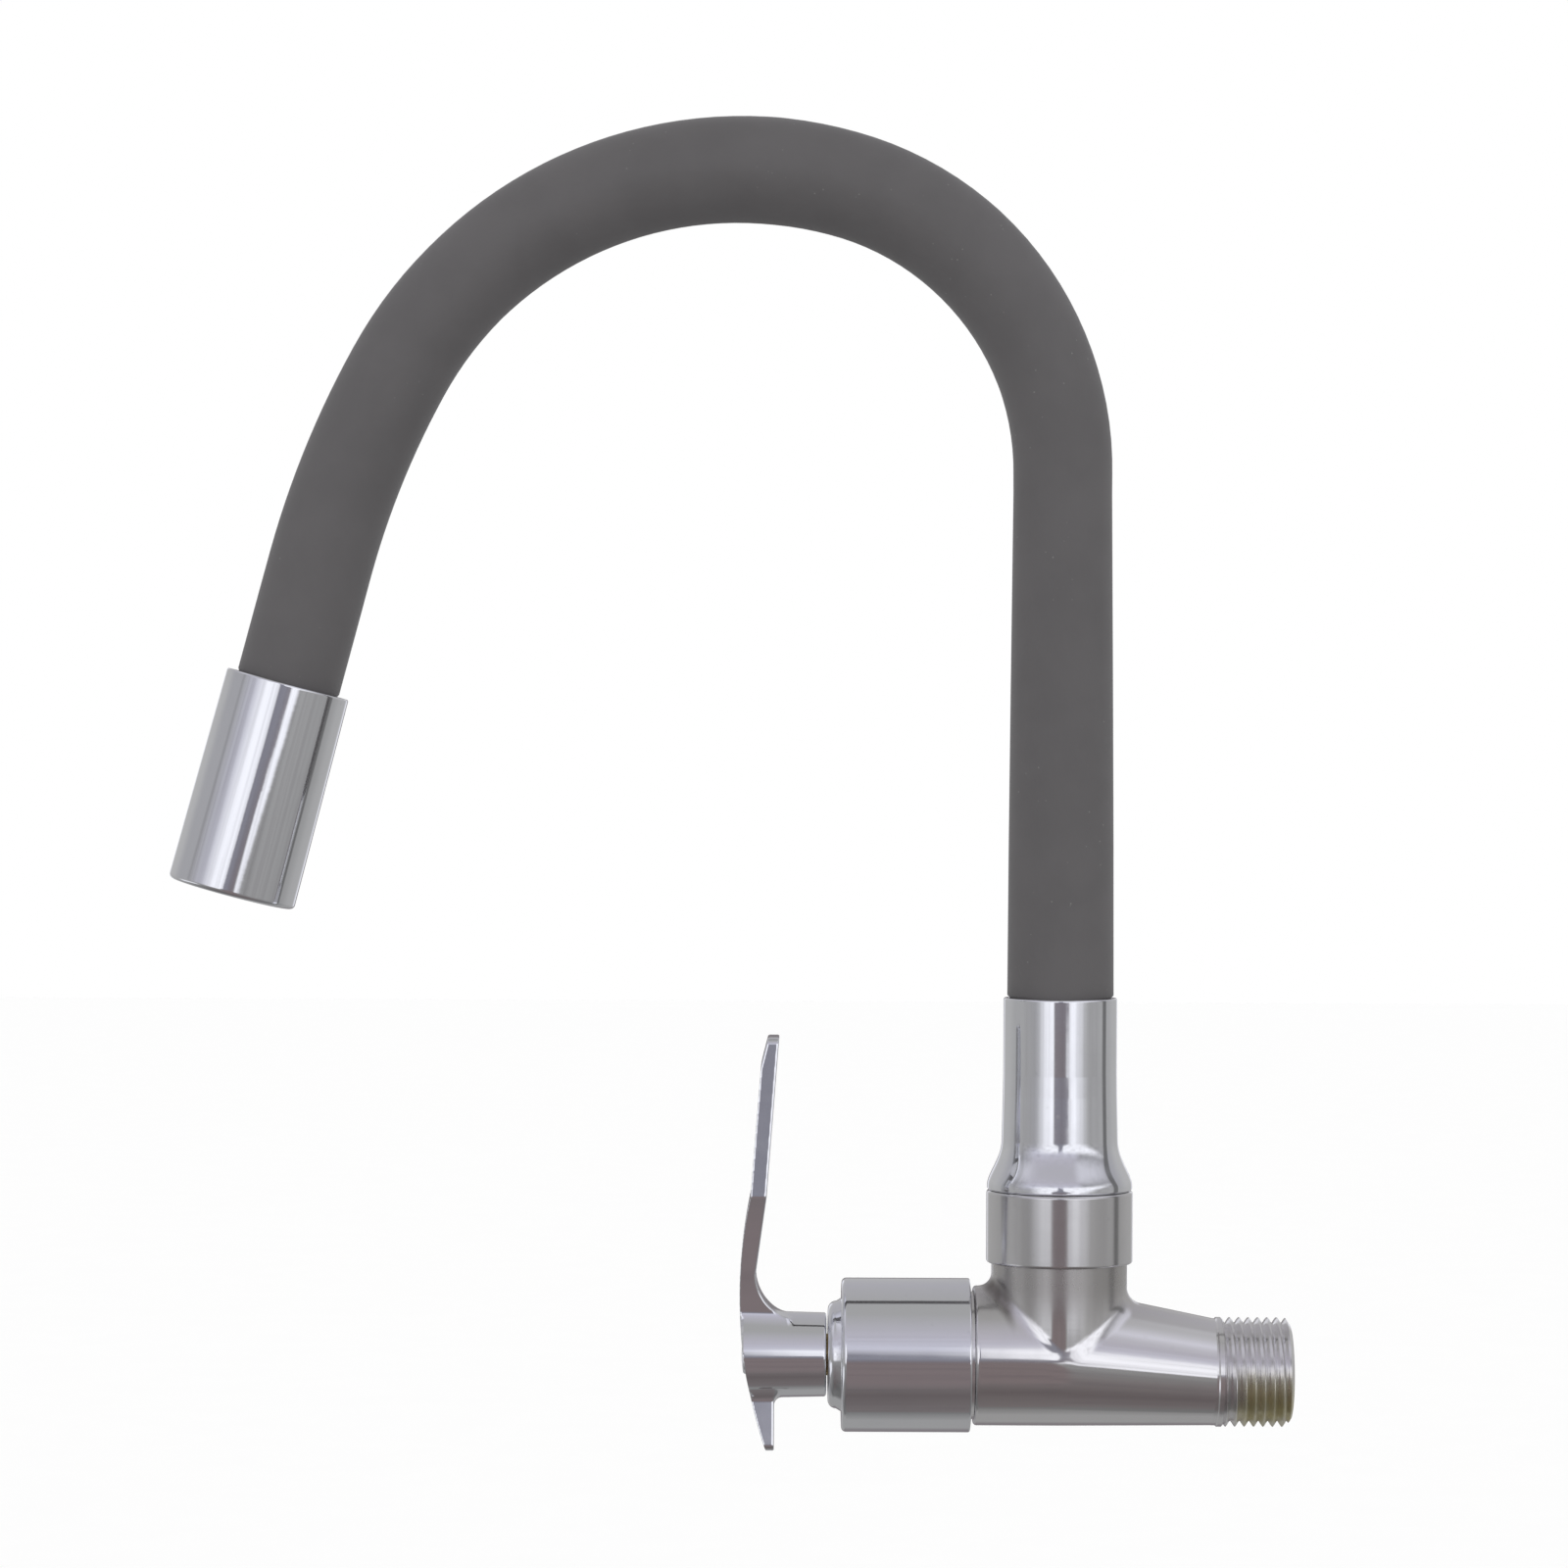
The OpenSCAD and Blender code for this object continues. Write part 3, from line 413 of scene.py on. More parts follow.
class Graph:
    """The nodes of one material or of the world."""

    def __init__(self, tree):
        self.tree = tree
        tree.nodes.clear()

    def node(self, kind, settings=None, **inputs):
        """Adds a node: its settings first, then the values or links of its sockets."""
        made = self.tree.nodes.new(kind)
        for key, value in (settings or {}).items():
            if key == "stops":
                ramp = made.color_ramp
                while len(ramp.elements) < len(value):
                    ramp.elements.new(0.5)
                for stop, (place, shade) in zip(ramp.elements, value):
                    stop.position = place
                    stop.color = (*shade, 1)
            else:
                setattr(made, key, value)
        for key, value in inputs.items():
            socket = made.inputs[int(key[1:])] if key[0] == "n" and key[1:].isdigit() \
                else made.inputs[key.replace("_", " ")]
            if isinstance(value, Value):
                self.tree.links.new(value.socket, socket)
            else:
                socket.default_value = value
        return made

    def value(self, kind, settings=None, output=0, **inputs):
        """Adds a node and wraps one of its outputs."""
        return Value(self, self.node(kind, settings, **inputs).outputs[output])

    def math(self, operation, a, b=0.0):
        """A Math node on two values."""
        return self.value("ShaderNodeMath", {"operation": operation}, n0=a, n1=b)

    def mix(self, factor, a, b):
        """A colour between a and b."""
        a, b = ((*c, 1) if isinstance(c, tuple) else c for c in (a, b))
        settings = {"data_type": "RGBA", "clamp_factor": True}
        return self.value("ShaderNodeMix", settings, 2, n0=factor, n6=a, n7=b)

    def here(self):
        """Object coordinates."""
        return self.value("ShaderNodeTexCoord", None, "Object")

    def place(self, scale=(1, 1, 1)):
        """Object coordinates, stretched."""
        return self.value("ShaderNodeMapping", None, Vector=self.here(), Scale=scale)

    def axes(self, vector):
        """A vector's x, y and z."""
        parts = self.node("ShaderNodeSeparateXYZ", None, Vector=vector)
        return [Value(self, parts.outputs[i]) for i in range(3)]

    def noise(self, scale, detail=2.0, roughness=0.5, place=None):
        """Soft noise between 0 and 1 with about scale lumps to the metre."""
        return self.value("ShaderNodeTexNoise", None, 0, Vector=place or self.place(), Scale=scale,
                          Detail=detail, Roughness=roughness)

    def specks(self, scale, size):
        """Round specks on a scattered grid: 1 inside each."""
        cell = self.value("ShaderNodeTexVoronoi", None, 0, Vector=self.place(), Scale=scale)
        return cell.smooth(size, size * 0.5)

    def bump(self, height, distance, under=None):
        """A Bump node's normal, over that of another where one is given."""
        inputs = {"Height": height, "Distance": distance, "Strength": 1.0}
        if under:
            inputs["Normal"] = under
        return self.value("ShaderNodeBump", None, 0, **inputs)

    def surface(self, **inputs):
        """Closes a material with a principled surface."""
        made = self.node("ShaderNodeBsdfPrincipled", None, **inputs)
        end = self.node("ShaderNodeOutputMaterial")
        self.tree.links.new(made.outputs[0], end.inputs[0])


def material(name, finish, *settings):
    """The material of that name, built once from a finish and its settings."""
    found = bpy.data.materials.get(name)
    if found:
        return found
    made = bpy.data.materials.new(name)
    made.use_nodes = True
    finish(Graph(made.node_tree), *settings)
    return made


def corner_shade_mask(g):
    """Painted shade mask: 1 in the corner between the neck and the barrel's lever end, 0 away from it."""
    group = bpy.context.scene.faucet_sizes
    x, y, z = g.axes(g.here())
    over = z - group.barrel_rise
    along = x - group.spout_x
    off_barrel = (y * y + over * over) ** 0.5 - group.barrel_radius
    off_neck = (along * along + y * y) ** 0.5 - group.neck_radius
    away = (off_barrel * off_barrel + off_neck * off_neck) ** 0.5
    return away.smooth(0.0026, 0.0008) * along.smooth(-0.0085, -0.0108) * over.smooth(0.0, 0.004)


def polished_chrome(g, shade, dull=0.0, satin_from=None):
    """Plating with faint polishing waves, wiped smudges and dried water spots.

    Above the height satin_from it is brushed, and darkened in the corner under the neck as painted shade."""
    waves = g.noise(95, 1.0)
    smudge = g.noise(55, 5.0, 0.6).smooth(0.48, 0.78)
    spots = g.specks(340, 0.16) * g.noise(130, 1.0).smooth(0.52, 0.66)
    lines = g.noise(900, 2.0, 0.5, g.place((0.06, 1, 1)))
    dark = tuple(c * 0.86 for c in shade)
    tone = g.mix(smudge * 0.35 + spots * 0.25, tuple(shade), dark)
    rough = smudge * 0.06 + spots * 0.10 + lines * 0.03 + (0.045 + dull)
    normal = g.bump(lines, 1.5e-6, g.bump(waves, 1.6e-5))
    if satin_from is not None:
        height = g.axes(g.here())[2]
        satin = height.smooth(satin_from, satin_from + 0.010)
        strokes = g.noise(700, 2.0, 0.5, g.place((1, 1, 0.04)))
        rough = rough + satin * (strokes * 0.05 + 0.17)
        worn = tuple(c * k for c, k in zip(shade, (0.58, 0.565, 0.545)))
        tone = g.mix(satin * (strokes * 0.25 + 0.75), tone, worn)
        # Painted shade: the corner under the neck is darkened in colour and made rougher
        stain_and_shade = corner_shade_mask(g) * (g.noise(420, 3.0, 0.6) * 0.5 + 0.55)
        tone = g.mix(stain_and_shade, tone, (0.15, 0.13, 0.12))
        rough = rough + stain_and_shade * 0.15
    g.surface(Base_Color=tone, Metallic=1.0, Roughness=rough, Normal=normal)


def threaded_plating(g, shade, brass):
    """Plating rubbed through to the brass on the thread's flanks, more so underneath."""
    along, _, height = g.axes(g.here())
    drift = (g.noise(150, 2.0) - 0.5) * 0.006
    low = (height + drift).smooth(0.003, -0.006) * (along + drift * 0.5).smooth(0.0020, 0.0060)
    worn = low * (g.noise(300, 3.0, 0.6).smooth(0.25, 0.6) * 0.35 + 0.6)
    film = g.noise(260, 4.0, 0.6).smooth(0.45, 0.80)
    tone = g.mix(worn, tuple(shade), tuple(brass))
    tone = g.mix(film * 0.25, tone, (0.30, 0.29, 0.27))
    g.surface(Base_Color=tone, Metallic=1.0, Roughness=worn * 0.22 + film * 0.10 + 0.15,
              Normal=g.bump(g.noise(1500, 2.0), 4e-6))


def silicone_skin(g, shade):
    """Matt silicone with a fine moulded grain, faint mottling and specks of dust."""
    mottle = g.noise(70, 3.0, 0.6)
    grain = g.noise(5200, 2.0, 0.6)
    dust = g.specks(520, 0.10) * g.noise(60, 2.0).smooth(0.50, 0.64)
    pale = tuple(c * 1.045 for c in shade)
    deep = tuple(c * 0.96 for c in shade)
    tone = g.mix(mottle.smooth(0.32, 0.70), deep, pale)
    tone = g.mix(dust * 0.30, tone, (0.42, 0.41, 0.40))
    g.surface(Base_Color=tone, Roughness=mottle * 0.10 + grain * 0.06 + 0.50,
              Normal=g.bump(grain, 1.8e-5), Sheen_Weight=0.10, Sheen_Roughness=0.4)


def turned_metal(g, shade, rough):
    """Machined metal with fine turning marks and slight staining."""
    marks = g.noise(2600, 2.0, 0.5, g.place((1, 0.08, 1)))
    stain_and_shade = g.noise(140, 4.0, 0.6)
    tone = g.mix(stain_and_shade.smooth(0.40, 0.75), tuple(shade), tuple(c * 0.78 for c in shade))
    g.surface(Base_Color=tone, Metallic=1.0, Roughness=marks * 0.10 + stain_and_shade * 0.08 + rough,
              Normal=g.bump(marks, 6e-6))


def moulded(g, shade, rough, grain_height=1.2e-5, clear=0.0):
    """Moulded plastic, rubber or pressed ceramic with a fine grain and faint mottling."""
    mottle = g.noise(160, 3.0, 0.6)
    grain = g.noise(3600, 2.0)
    tone = g.mix(mottle, tuple(c * 0.88 for c in shade), tuple(min(1, c * 1.06) for c in shade))
    g.surface(Base_Color=tone, Roughness=mottle * 0.10 + grain * 0.08 + rough, Coat_Weight=clear,
              Normal=g.bump(grain, grain_height))


def chrome():
    """The bright plating of the sleeve, lever, riser and outlet."""
    shade = bpy.context.scene.faucet_finishes.chrome
    return material("polished_chrome", polished_chrome, shade)


def body_chrome():
    """The body's plating: duller, and brushed on the neck."""
    shade = bpy.context.scene.faucet_finishes.body_chrome
    return material("body_chrome", polished_chrome, shade, 0.015, 0.008)


def nut_chrome():
    """The nut's darker, duller plating."""
    shade = tuple(c * 0.84 for c in bpy.context.scene.faucet_finishes.body_chrome)
    return material("nut_chrome", polished_chrome, shade, 0.085)


# Pieces

class FAUCET_OT_body_casting(Operator):
    """Casts the valve barrel, the tapered inlet and the neck as one filleted body"""

    bl_idname = "faucet.body_casting"
    bl_label = "Body casting"

    def execute(self, context):
        s = sizes()
        x0, rise = s["spout_x"], s["barrel_rise"]
        neck_cut, end_round, cell = 22.0, 0.7, 0.36
        spigot_bore, spigot_r, spigot_run, spigot_lap = 9.2, 12.2, 8, 0.5
        # The barrel eases into the taper, and the fillet shrinks to a trace at the body's sides
        ease, trace, fade = 4.0, 0.02, 0.75
        taper = (s["barrel_radius"] - s["shoulder_radius"]) / -x0

        def surface(x, y, z):
            along = x - x0
            run = (along + np.sqrt(along * along + ease * ease)) / 2
            barrel = np.hypot(y, z - rise * (1 + run / x0))
            neck = np.hypot(along, y)
            facing = y * y / np.maximum(barrel * neck, 1e-6)
            fillet = s["body_fillet"] * np.clip(1 + trace - facing, trace, 1) ** fade
            side = rounded_meet(barrel - s["barrel_radius"] + taper * run, s["barrel_end"] - x, end_round)
            return filleted_join(side, np.maximum(neck - s["neck_radius"], rise - z), fillet)

        blank = joined("body_casting", [
            blank_rod((s["barrel_end"], 0, rise), (x0, 0, rise), s["barrel_radius"]),
            blank_rod((x0 - 1, 0, rise), (2.5, 0, 0), s["barrel_radius"], s["shoulder_radius"]),
            blank_rod((x0, 0, 0), (x0, 0, neck_cut + 2), s["neck_radius"]),
        ])
        cast(blank, cell, surface)
        trimmed(blank, (0, 0, 0), INTO_WALL)
        trimmed(blank, (x0, 0, neck_cut), UP)
        spigot = turned("spigot", [(spigot_bore, 0), (spigot_r, 0), (spigot_r, -spigot_run),
                                   (spigot_bore, -spigot_run)])
        placed(spigot, (s["barrel_end"] + spigot_lap, 0, rise), INTO_WALL)
        piece = finished(joined("body_casting", [blank, spigot]), 50)
        keep(piece, "tap", body_chrome(), "tap_body")
        return {"FINISHED"}


def whitworth(depth, pitch):
    """One pitch of a rounded thread as (depth below the crest, place along the axis)."""
    count, rounded, straight = 14, 0.45, 0.55
    points = []
    for i in range(count + 1):
        t = i / count
        wave = abs(2 * t - 1)
        curve = depth * (1 - wave * wave * (3 - 2 * wave))
        points.append((curve * rounded + depth * (1 - wave) * straight, pitch * t))
    return points


class FAUCET_OT_inlet_thread(Operator):
    """Winds the inlet's pipe thread, chamfers its start and bores the waterway"""

    bl_idname = "faucet.inlet_thread"
    bl_label = "Inlet thread"

    def execute(self, context):
        s = sizes()
        r, pitch, depth = s["thread_radius"], s["thread_pitch"], s["thread_depth"]
        run, land_run, bore_r = s["thread_length"], s["thread_land"], s["inlet_bore"]
        core, steps, chamfer, lap, bevel, run_out, mouth = 0.2, 72, 1.6, 0.8, 0.25, 0.5, 0.8
        turns = math.ceil(run / pitch) + 3
        piece = drawn("inlet_thread", [Vector((r - d, 0, z)) for d, z in whitworth(depth, pitch)])
        bpy.ops.object.mode_set(mode="OBJECT")
        applied(piece, "SCREW", axis="Z", angle=2 * math.pi, screw_offset=pitch, iterations=turns,
                steps=steps, render_steps=steps, use_merge_vertices=True, merge_threshold=DOUBLES,
                use_normal_calculate=True)
        editing(placed(piece, (-1.5 * pitch, 0, 0), INTO_WALL))
        bpy.ops.mesh.remove_doubles(threshold=DOUBLES)
        bpy.ops.mesh.normals_make_consistent(inside=False)
        bpy.ops.object.mode_set(mode="OBJECT")
        trimmed(piece, (run, 0, 0), INTO_WALL)
        trimmed(piece, (land_run - 0.4, 0, 0), OUT_OF_WALL)
        envelope = turned("envelope", [(core, -1), (r + 1, -1), (r + 1, run - chamfer),
                                       (r - depth - bevel, run), (core, run + 0.001)])
        cut(piece, placed(envelope, (0, 0, 0), INTO_WALL), "INTERSECT")
        land = turned("land", [(core, -lap), (r - bevel, -lap), (r - bevel, 0), (r, bevel),
                               (r, land_run - run_out), (r - run_out, land_run), (core, land_run)])
        cut(piece, placed(land, (0, 0, 0), INTO_WALL), "UNION")
        bore = turned("bore", [(PIN, -3), (bore_r, -3), (bore_r, run - 0.6), (bore_r + mouth, run + 0.2),
                               (PIN, run + 0.2)])
        cut(piece, placed(bore, (0, 0, 0), INTO_WALL))
        piece = finished(piece, 40)
        group = context.scene.faucet_finishes
        finish = material("threaded_plating", threaded_plating, group.body_chrome, group.bare_brass)
        keep(piece, "tap", finish, "tap_body")
        return {"FINISHED"}


class FAUCET_OT_bonnet_sleeve(Operator):
    """Turns the smooth sleeve over the cartridge, with its rounded nose"""

    bl_idname = "faucet.bonnet_sleeve"
    bl_label = "Bonnet sleeve"

    def execute(self, context):
        s = sizes()
        r, run, nose = s["sleeve_radius"], s["sleeve_length"], s["nose_length"]
        tip, inner, bore, wall = 10.3, 12.34, 7.0, 2.6
        rim, brow, tip_round, corner, corner_r = 0.35, 0.9, 1.6, 0.18, 10.98
        outline = [(inner, 0), *arc((r - rim, rim), rim, -90, 0, 4),
                   *arc((r - brow, run - brow), brow, 0, 90, 7), (10.9, run + 0.02),
                   *arc((corner_r, run + 0.2), corner, -90, -180, 3),
                   *arc((tip - tip_round, run + nose - tip_round), tip_round, 0, 90, 8),
                   (bore, run + nose), (bore, run - wall), (inner, run - wall)]
        piece = turned("sleeve_cover", outline, FINE_STEPS)
        placed(piece, (s["sleeve_start"], 0, s["barrel_rise"]), OUT_OF_WALL)
        keep(finished(piece), "tap", chrome(), "bonnet_sleeve")
        return {"FINISHED"}


class FAUCET_OT_lever_handle(Operator):
    """Casts the lever: hub, waisted blade with its crease, wedge tail and bowed front"""

    bl_idname = "faucet.lever_handle"
    bl_label = "Lever handle"

    def execute(self, context):
        s = sizes()
        rise, edge = s["barrel_rise"], s["lever_edge"]
        # Heights are over the hub's axis
        bow_r, bow_z, bow_x, crease_z, top, low = 90.0, 12.0, -91.5, 31.0, 61.3, -17.9
        crease_x, tip_x, blade, tail_in, corner = -89.47, -87.19, 3.1, -84.79, 1.3
        root_r, root_z, root_x = 9.0, 16.0, -88.4
        root_low, tail_top, end_run, straight = 7.5, -6, 3, 0.35
        bevel_in, bevel_x, bevel_z = 0.95, -0.970, 0.243
        hub_run, hub_draft, hub_round, hub_fillet, cell = 16.7, 0.4, 0.5, 1.5, 0.2
        cap_r, cap_run, cap_floor = 3.92, 9, -84.1
        spline_r, spline_run, spline_x = 4.1, 8.6, -73.7
        hub_r, hub_x, waist = s["hub_radius"], s["hub_end"], s["waist_width"] / 2
        wide, tip, tail = s["blade_width"] / 2, s["tip_width"] / 2, s["tail_width"] / 2

        def front(z):
            bow = bow_x + bow_r - np.sqrt(bow_r ** 2 - np.clip(z - bow_z, -60, 60) ** 2)
            flat = crease_x + (z - crease_z) * (tip_x - crease_x) / (top - crease_z)
            return np.where(z < crease_z, bow, flat)

        def back(z):
            root = root_x + root_r - np.sqrt(np.maximum(root_r ** 2 - (z - root_z) ** 2, 0))
            upper = np.interp(z, [root_z, crease_z, top, top + 9],
                              [root_x, crease_x + blade, tip_x + blade, tip_x + blade + 0.7])
            lower = np.where(z > tail_top, root_x + 6, tail_in)
            return np.where(z > root_z, upper, np.where(z > root_low, root, lower))

        def half_width(z):
            t = np.clip((z - hub_r) / (crease_z - hub_r), 0, 1)
            flank = waist + (wide - waist) * (straight * t + (1 - straight) * t * t)
            above = wide + (tip - wide) * (z - crease_z) / (top - end_run - crease_z)
            below = waist + (tail - waist) * np.clip((-hub_r - z) / (-hub_r - low - end_run), 0, 1.3)
            return np.where(z > crease_z, above, np.where(z > -hub_r, flank, below))

        def surface(x, y, z):
            h = z - rise
            outer = front(h) - x
            sides = rounded_meet(np.abs(y) - half_width(h), np.maximum(h - top, low - h), corner)
            bevel = bevel_x * (x - tip_x - bevel_in) + bevel_z * (h - top)
            plate = rounded_meet(sides, x - back(h), edge)
            plate = rounded_meet(plate, bevel, edge)
            reach = np.clip((hub_x - x) / hub_run, 0, 1.2)
            hub = rounded_meet(np.hypot(y, h) - hub_r + hub_draft * (1 - reach), x - hub_x, hub_round)
            return rounded_meet(filleted_join(plate, hub, hub_fillet), outer, edge / 2)

        levels = np.linspace(low, top, 60)
        corners = zip(front(levels), back(levels), half_width(levels), levels + rise)
        plate = lofted("plate", [((a, -w, h), (b, -w, h), (b, w, h), (a, w, h)) for a, b, w, h in corners])
        hub = blank_rod((hub_x, 0, rise), (bow_x + 0.8, 0, rise), hub_r)
        piece = cast(joined("lever_casting", [hub, plate]), cell, surface, 14)
        for r, run, start in ((cap_r, cap_run, cap_floor), (spline_r, spline_run, spline_x)):
            drill = turned("drill", [(PIN, 0), (r, 0), (r, run), (PIN, run)], SMALL_STEPS)
            cut(piece, placed(drill, (start, 0, rise), OUT_OF_WALL))
        keep(finished(piece, 38), "lever", chrome(), "lever_handle")
        return {"FINISHED"}


class FAUCET_OT_index_cap(Operator):
    """Turns the small domed cap over the handle screw"""

    bl_idname = "faucet.index_cap"
    bl_label = "Index cap"

    def execute(self, context):
        s = sizes()
        low, high = (np.array(corner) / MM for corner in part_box("index_cap"))
        depth, r = high[0] - low[0], (high[2] - low[2]) / 2
        lead, brow, dome = 0.2, 0.5, 0.75
        outline = [(PIN, 0), (r - lead, 0), (r, lead), *arc((r - brow, depth - dome), brow, 0, 80, 5),
                   (r * 0.6, depth - 0.12), (r * 0.3, depth - 0.03), (PIN, depth)]
        piece = turned("cap_plug", outline, SMALL_STEPS)
        placed(piece, (high[0], 0, s["barrel_rise"]), OUT_OF_WALL)
        keep(finished(piece), "lever", chrome(), "index_cap")
        return {"FINISHED"}


class FAUCET_OT_union_nut(Operator):
    """Turns the smooth union nut that holds the spout's tail"""

    bl_idname = "faucet.union_nut"
    bl_label = "Union nut"

    def execute(self, context):
        s = sizes()
        low, high = (np.array(corner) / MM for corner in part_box("union_nut"))
        h, r = high[2] - low[2], high[0] - s["spout_x"]
        inner, bore, roof, foot, brow = 12.05, 9.2, 2.2, 0.45, 0.6
        outline = [(inner, 0), *arc((r - foot, foot), foot, -90, 0, 4),
                   *arc((r - brow, h - brow), brow, 0, 90, 5), (bore, h), (bore, h - roof), (inner, h - roof)]
        piece = turned("nut_ring", outline, FINE_STEPS)
        placed(piece, (s["spout_x"], 0, low[2]), UP)
        keep(finished(piece), "tap", nut_chrome(), "union_nut")
        return {"FINISHED"}


class FAUCET_OT_riser_ferrule(Operator):
    """Turns the flared tube that carries the hose's foot"""

    bl_idname = "faucet.riser_ferrule"
    bl_label = "Riser ferrule"

    def execute(self, context):
        s = sizes()
        low, high = (np.array(corner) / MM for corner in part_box("riser_ferrule"))
        h, foot = high[2] - low[2], high[0] - s["spout_x"]
        spread, mouth, flare, bore, seat, lip, throat = 2.79, 10.92, 9.4, 9.92, -0.22, 0.35, 0.25
        waist, steps = foot - spread, 16
        flank = [(waist + spread * (1 + math.cos(math.pi * (i / steps) ** 0.8)) / 2,
                  flare * (0.085 + 0.915 * i / steps)) for i in range(steps + 1)]
        outline = [(bore, seat), (foot - 0.3, seat), (foot, 0.08), *flank, (mouth + 0.06, 18), (mouth, 22),
                   *arc((mouth - lip, h - lip), lip, 0, 90, 5),
                   *arc((bore + throat, h - throat), throat, 90, 180, 4)]
        piece = turned("riser_tube", outline, FINE_STEPS)
        placed(piece, (s["spout_x"], 0, low[2]), UP)
        keep(finished(piece, 40), "spout", chrome(), "riser_ferrule")
        return {"FINISHED"}


# The hose's middle line: a straight run, three arcs and a straight end, as (length, radius or none)
HOSE_FOOT = (-30.0, 56.93)
HOSE_RUNS = ((116.535, None), (73.121, 57.0), (101.841, 75.0), (40.945, 170.0), (38.4, None))
HOSE_END = 370.835
HINGES = (63.69, 112.38, 161.07, 209.76, 258.45, 307.14)
# Half the length that bends at each hinge
BEND_REACH = 20.0
# Length of the hose inside the outlet shell, and how far the water hose stops short of the silicone
SHELL_LAP = 15.0
NIPPLE_LAP = 8.0
# The hose's swelling across the arch, as (length along it, share of its radius)
HOSE_GIRTH = ((-40, 1.0), (15.1, 1.0), (15.5, 1.045), (45, 1.03), (75, 1.005), (112, 0.97), (135, 0.98),
              (165, 1.02), (205, 1.05), (245, 1.02), (270, 1.0), (340, 1.022), (355.3, 1.022), (355.7, 1.0),
              (371, 1.0))


def hose_at(s):
    """Place (x, z) and heading, in radians from up towards the outlet, at a length along the hose."""
    x, z = HOSE_FOOT
    heading = 0.0
    for run, radius in HOSE_RUNS:
        step = min(s, run)
        if radius is None:
            x -= step * math.sin(heading)
            z += step * math.cos(heading)
        else:
            after = heading + step / radius
            x += radius * (math.cos(after) - math.cos(heading))
            z += radius * (math.sin(after) - math.sin(heading))
            heading = after
        s -= step
        if s <= 1e-9:
            break
    return x, z, heading


def hose_length(name, start, end, radius, wall):
    """One length of tube along the hose's middle line."""
    around, pitch = 72, 3.0
    steps = max(6, round((end - start) / pitch))
    stations = [start, start + HOLD] + [start + (end - start) * i / steps for i in range(1, steps)]
    stations = sorted(stations + [s for s, _ in HOSE_GIRTH if start < s < end] + [end - HOLD, end])
    deselect()
    bpy.ops.mesh.primitive_grid_add(x_subdivisions=around, y_subdivisions=len(stations) - 1, size=1)
    piece = added(name)
    grid = points_of(piece)
    column = np.rint((grid[:, 0] + 0.5) * around).astype(int) % around
    row = np.rint((grid[:, 1] + 0.5) * (len(stations) - 1)).astype(int)
    spots = np.array([hose_at(s) for s in stations])[row]
    turn = 2 * math.pi * column / around
    girth = np.interp(np.array(stations)[row], *np.transpose(HOSE_GIRTH))
    out = radius * girth * np.cos(turn)
    x = spots[:, 0] + out * np.cos(spots[:, 2])
    z = spots[:, 1] + out * np.sin(spots[:, 2])
    set_points(piece, np.stack([x, radius * np.sin(turn), z], axis=1))
    editing(piece)
    bpy.ops.mesh.remove_doubles(threshold=DOUBLES)
    bpy.ops.object.mode_set(mode="OBJECT")
    applied(piece, "SOLIDIFY", thickness=wall, offset=-1.0, use_rim=True, use_even_offset=True)
    return finished(piece, 50)


def hose_pieces(name, radius, wall, finish, node, first, last):
    """The lengths of one tube, each of which lies over one hinge."""
    breaks = [first] + [(a + b) / 2 for a, b in zip(HINGES, HINGES[1:])] + [last]
    for i, hinge in enumerate(HINGES):
        piece = hose_length(f"{name}_{i + 1}", breaks[i], breaks[i + 1], radius, wall)
        ends = [hose_at(hinge + side * BEND_REACH) for side in (-1, 1)]
        start, end = ((x * MM, 0, z * MM) for x, z, _ in ends)
        keep(piece, None, finish, node)
        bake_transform(piece)


class FAUCET_OT_silicone_sleeve(Operator):
    """Draws the grey silicone sleeve along the gooseneck"""

    bl_idname = "faucet.silicone_sleeve"
    bl_label = "Silicone sleeve"

    def execute(self, context):
        s = sizes()
        finish = material("silicone_skin", silicone_skin, context.scene.faucet_finishes.silicone)
        hose_pieces("silicone_length", s["hose_radius"], s["hose_wall"], finish,
                    "silicone_sleeve", 0.0, HOSE_END)
        return {"FINISHED"}


class FAUCET_OT_water_hose(Operator):
    """Draws the water hose inside the sleeve"""

    bl_idname = "faucet.water_hose"
    bl_label = "Water hose"

    def execute(self, context):
        s = sizes()
        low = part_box("inner_hose")[0][2] / MM - HOSE_FOOT[1]
        finish = material("hose_liner", moulded, (0.55, 0.55, 0.52), 0.35)
        hose_pieces("liner_length", s["liner_radius"], s["liner_wall"], finish, "inner_hose",
                    low, HOSE_END - NIPPLE_LAP)
        return {"FINISHED"}


class FAUCET_OT_outlet_shell(Operator):
    """Turns the outlet's slightly flared shell at the end of the spout"""

    bl_idname = "faucet.outlet_shell"
    bl_label = "Outlet shell"

    def execute(self, context):
        s = sizes()
        run, bore, mouth, lip = s["outlet_length"], 9.92, 12.0, 12.4
        throat, rim, brow, inner = 0.3, 0.35, 0.9, 0.4
        x, z, heading = hose_at(HOSE_END - SHELL_LAP)
        outline = [(bore, throat), *arc((bore + throat, throat), throat, 180, 270, 3),
                   *arc((mouth - rim, rim), rim, -90, 0, 5), (mouth + 0.22, run / 2),
                   *arc((lip - brow, run - brow), brow, 0, 90, 7),
                   *arc((bore + inner, run - inner), inner, 90, 180, 4)]
        piece = turned("outlet_tube", outline, FINE_STEPS)
        placed(piece, (x, 0, z), (-math.sin(heading), 0, math.cos(heading)))
        keep(finished(piece), "hose_7", chrome(), "outlet_shell")
        return {"FINISHED"}


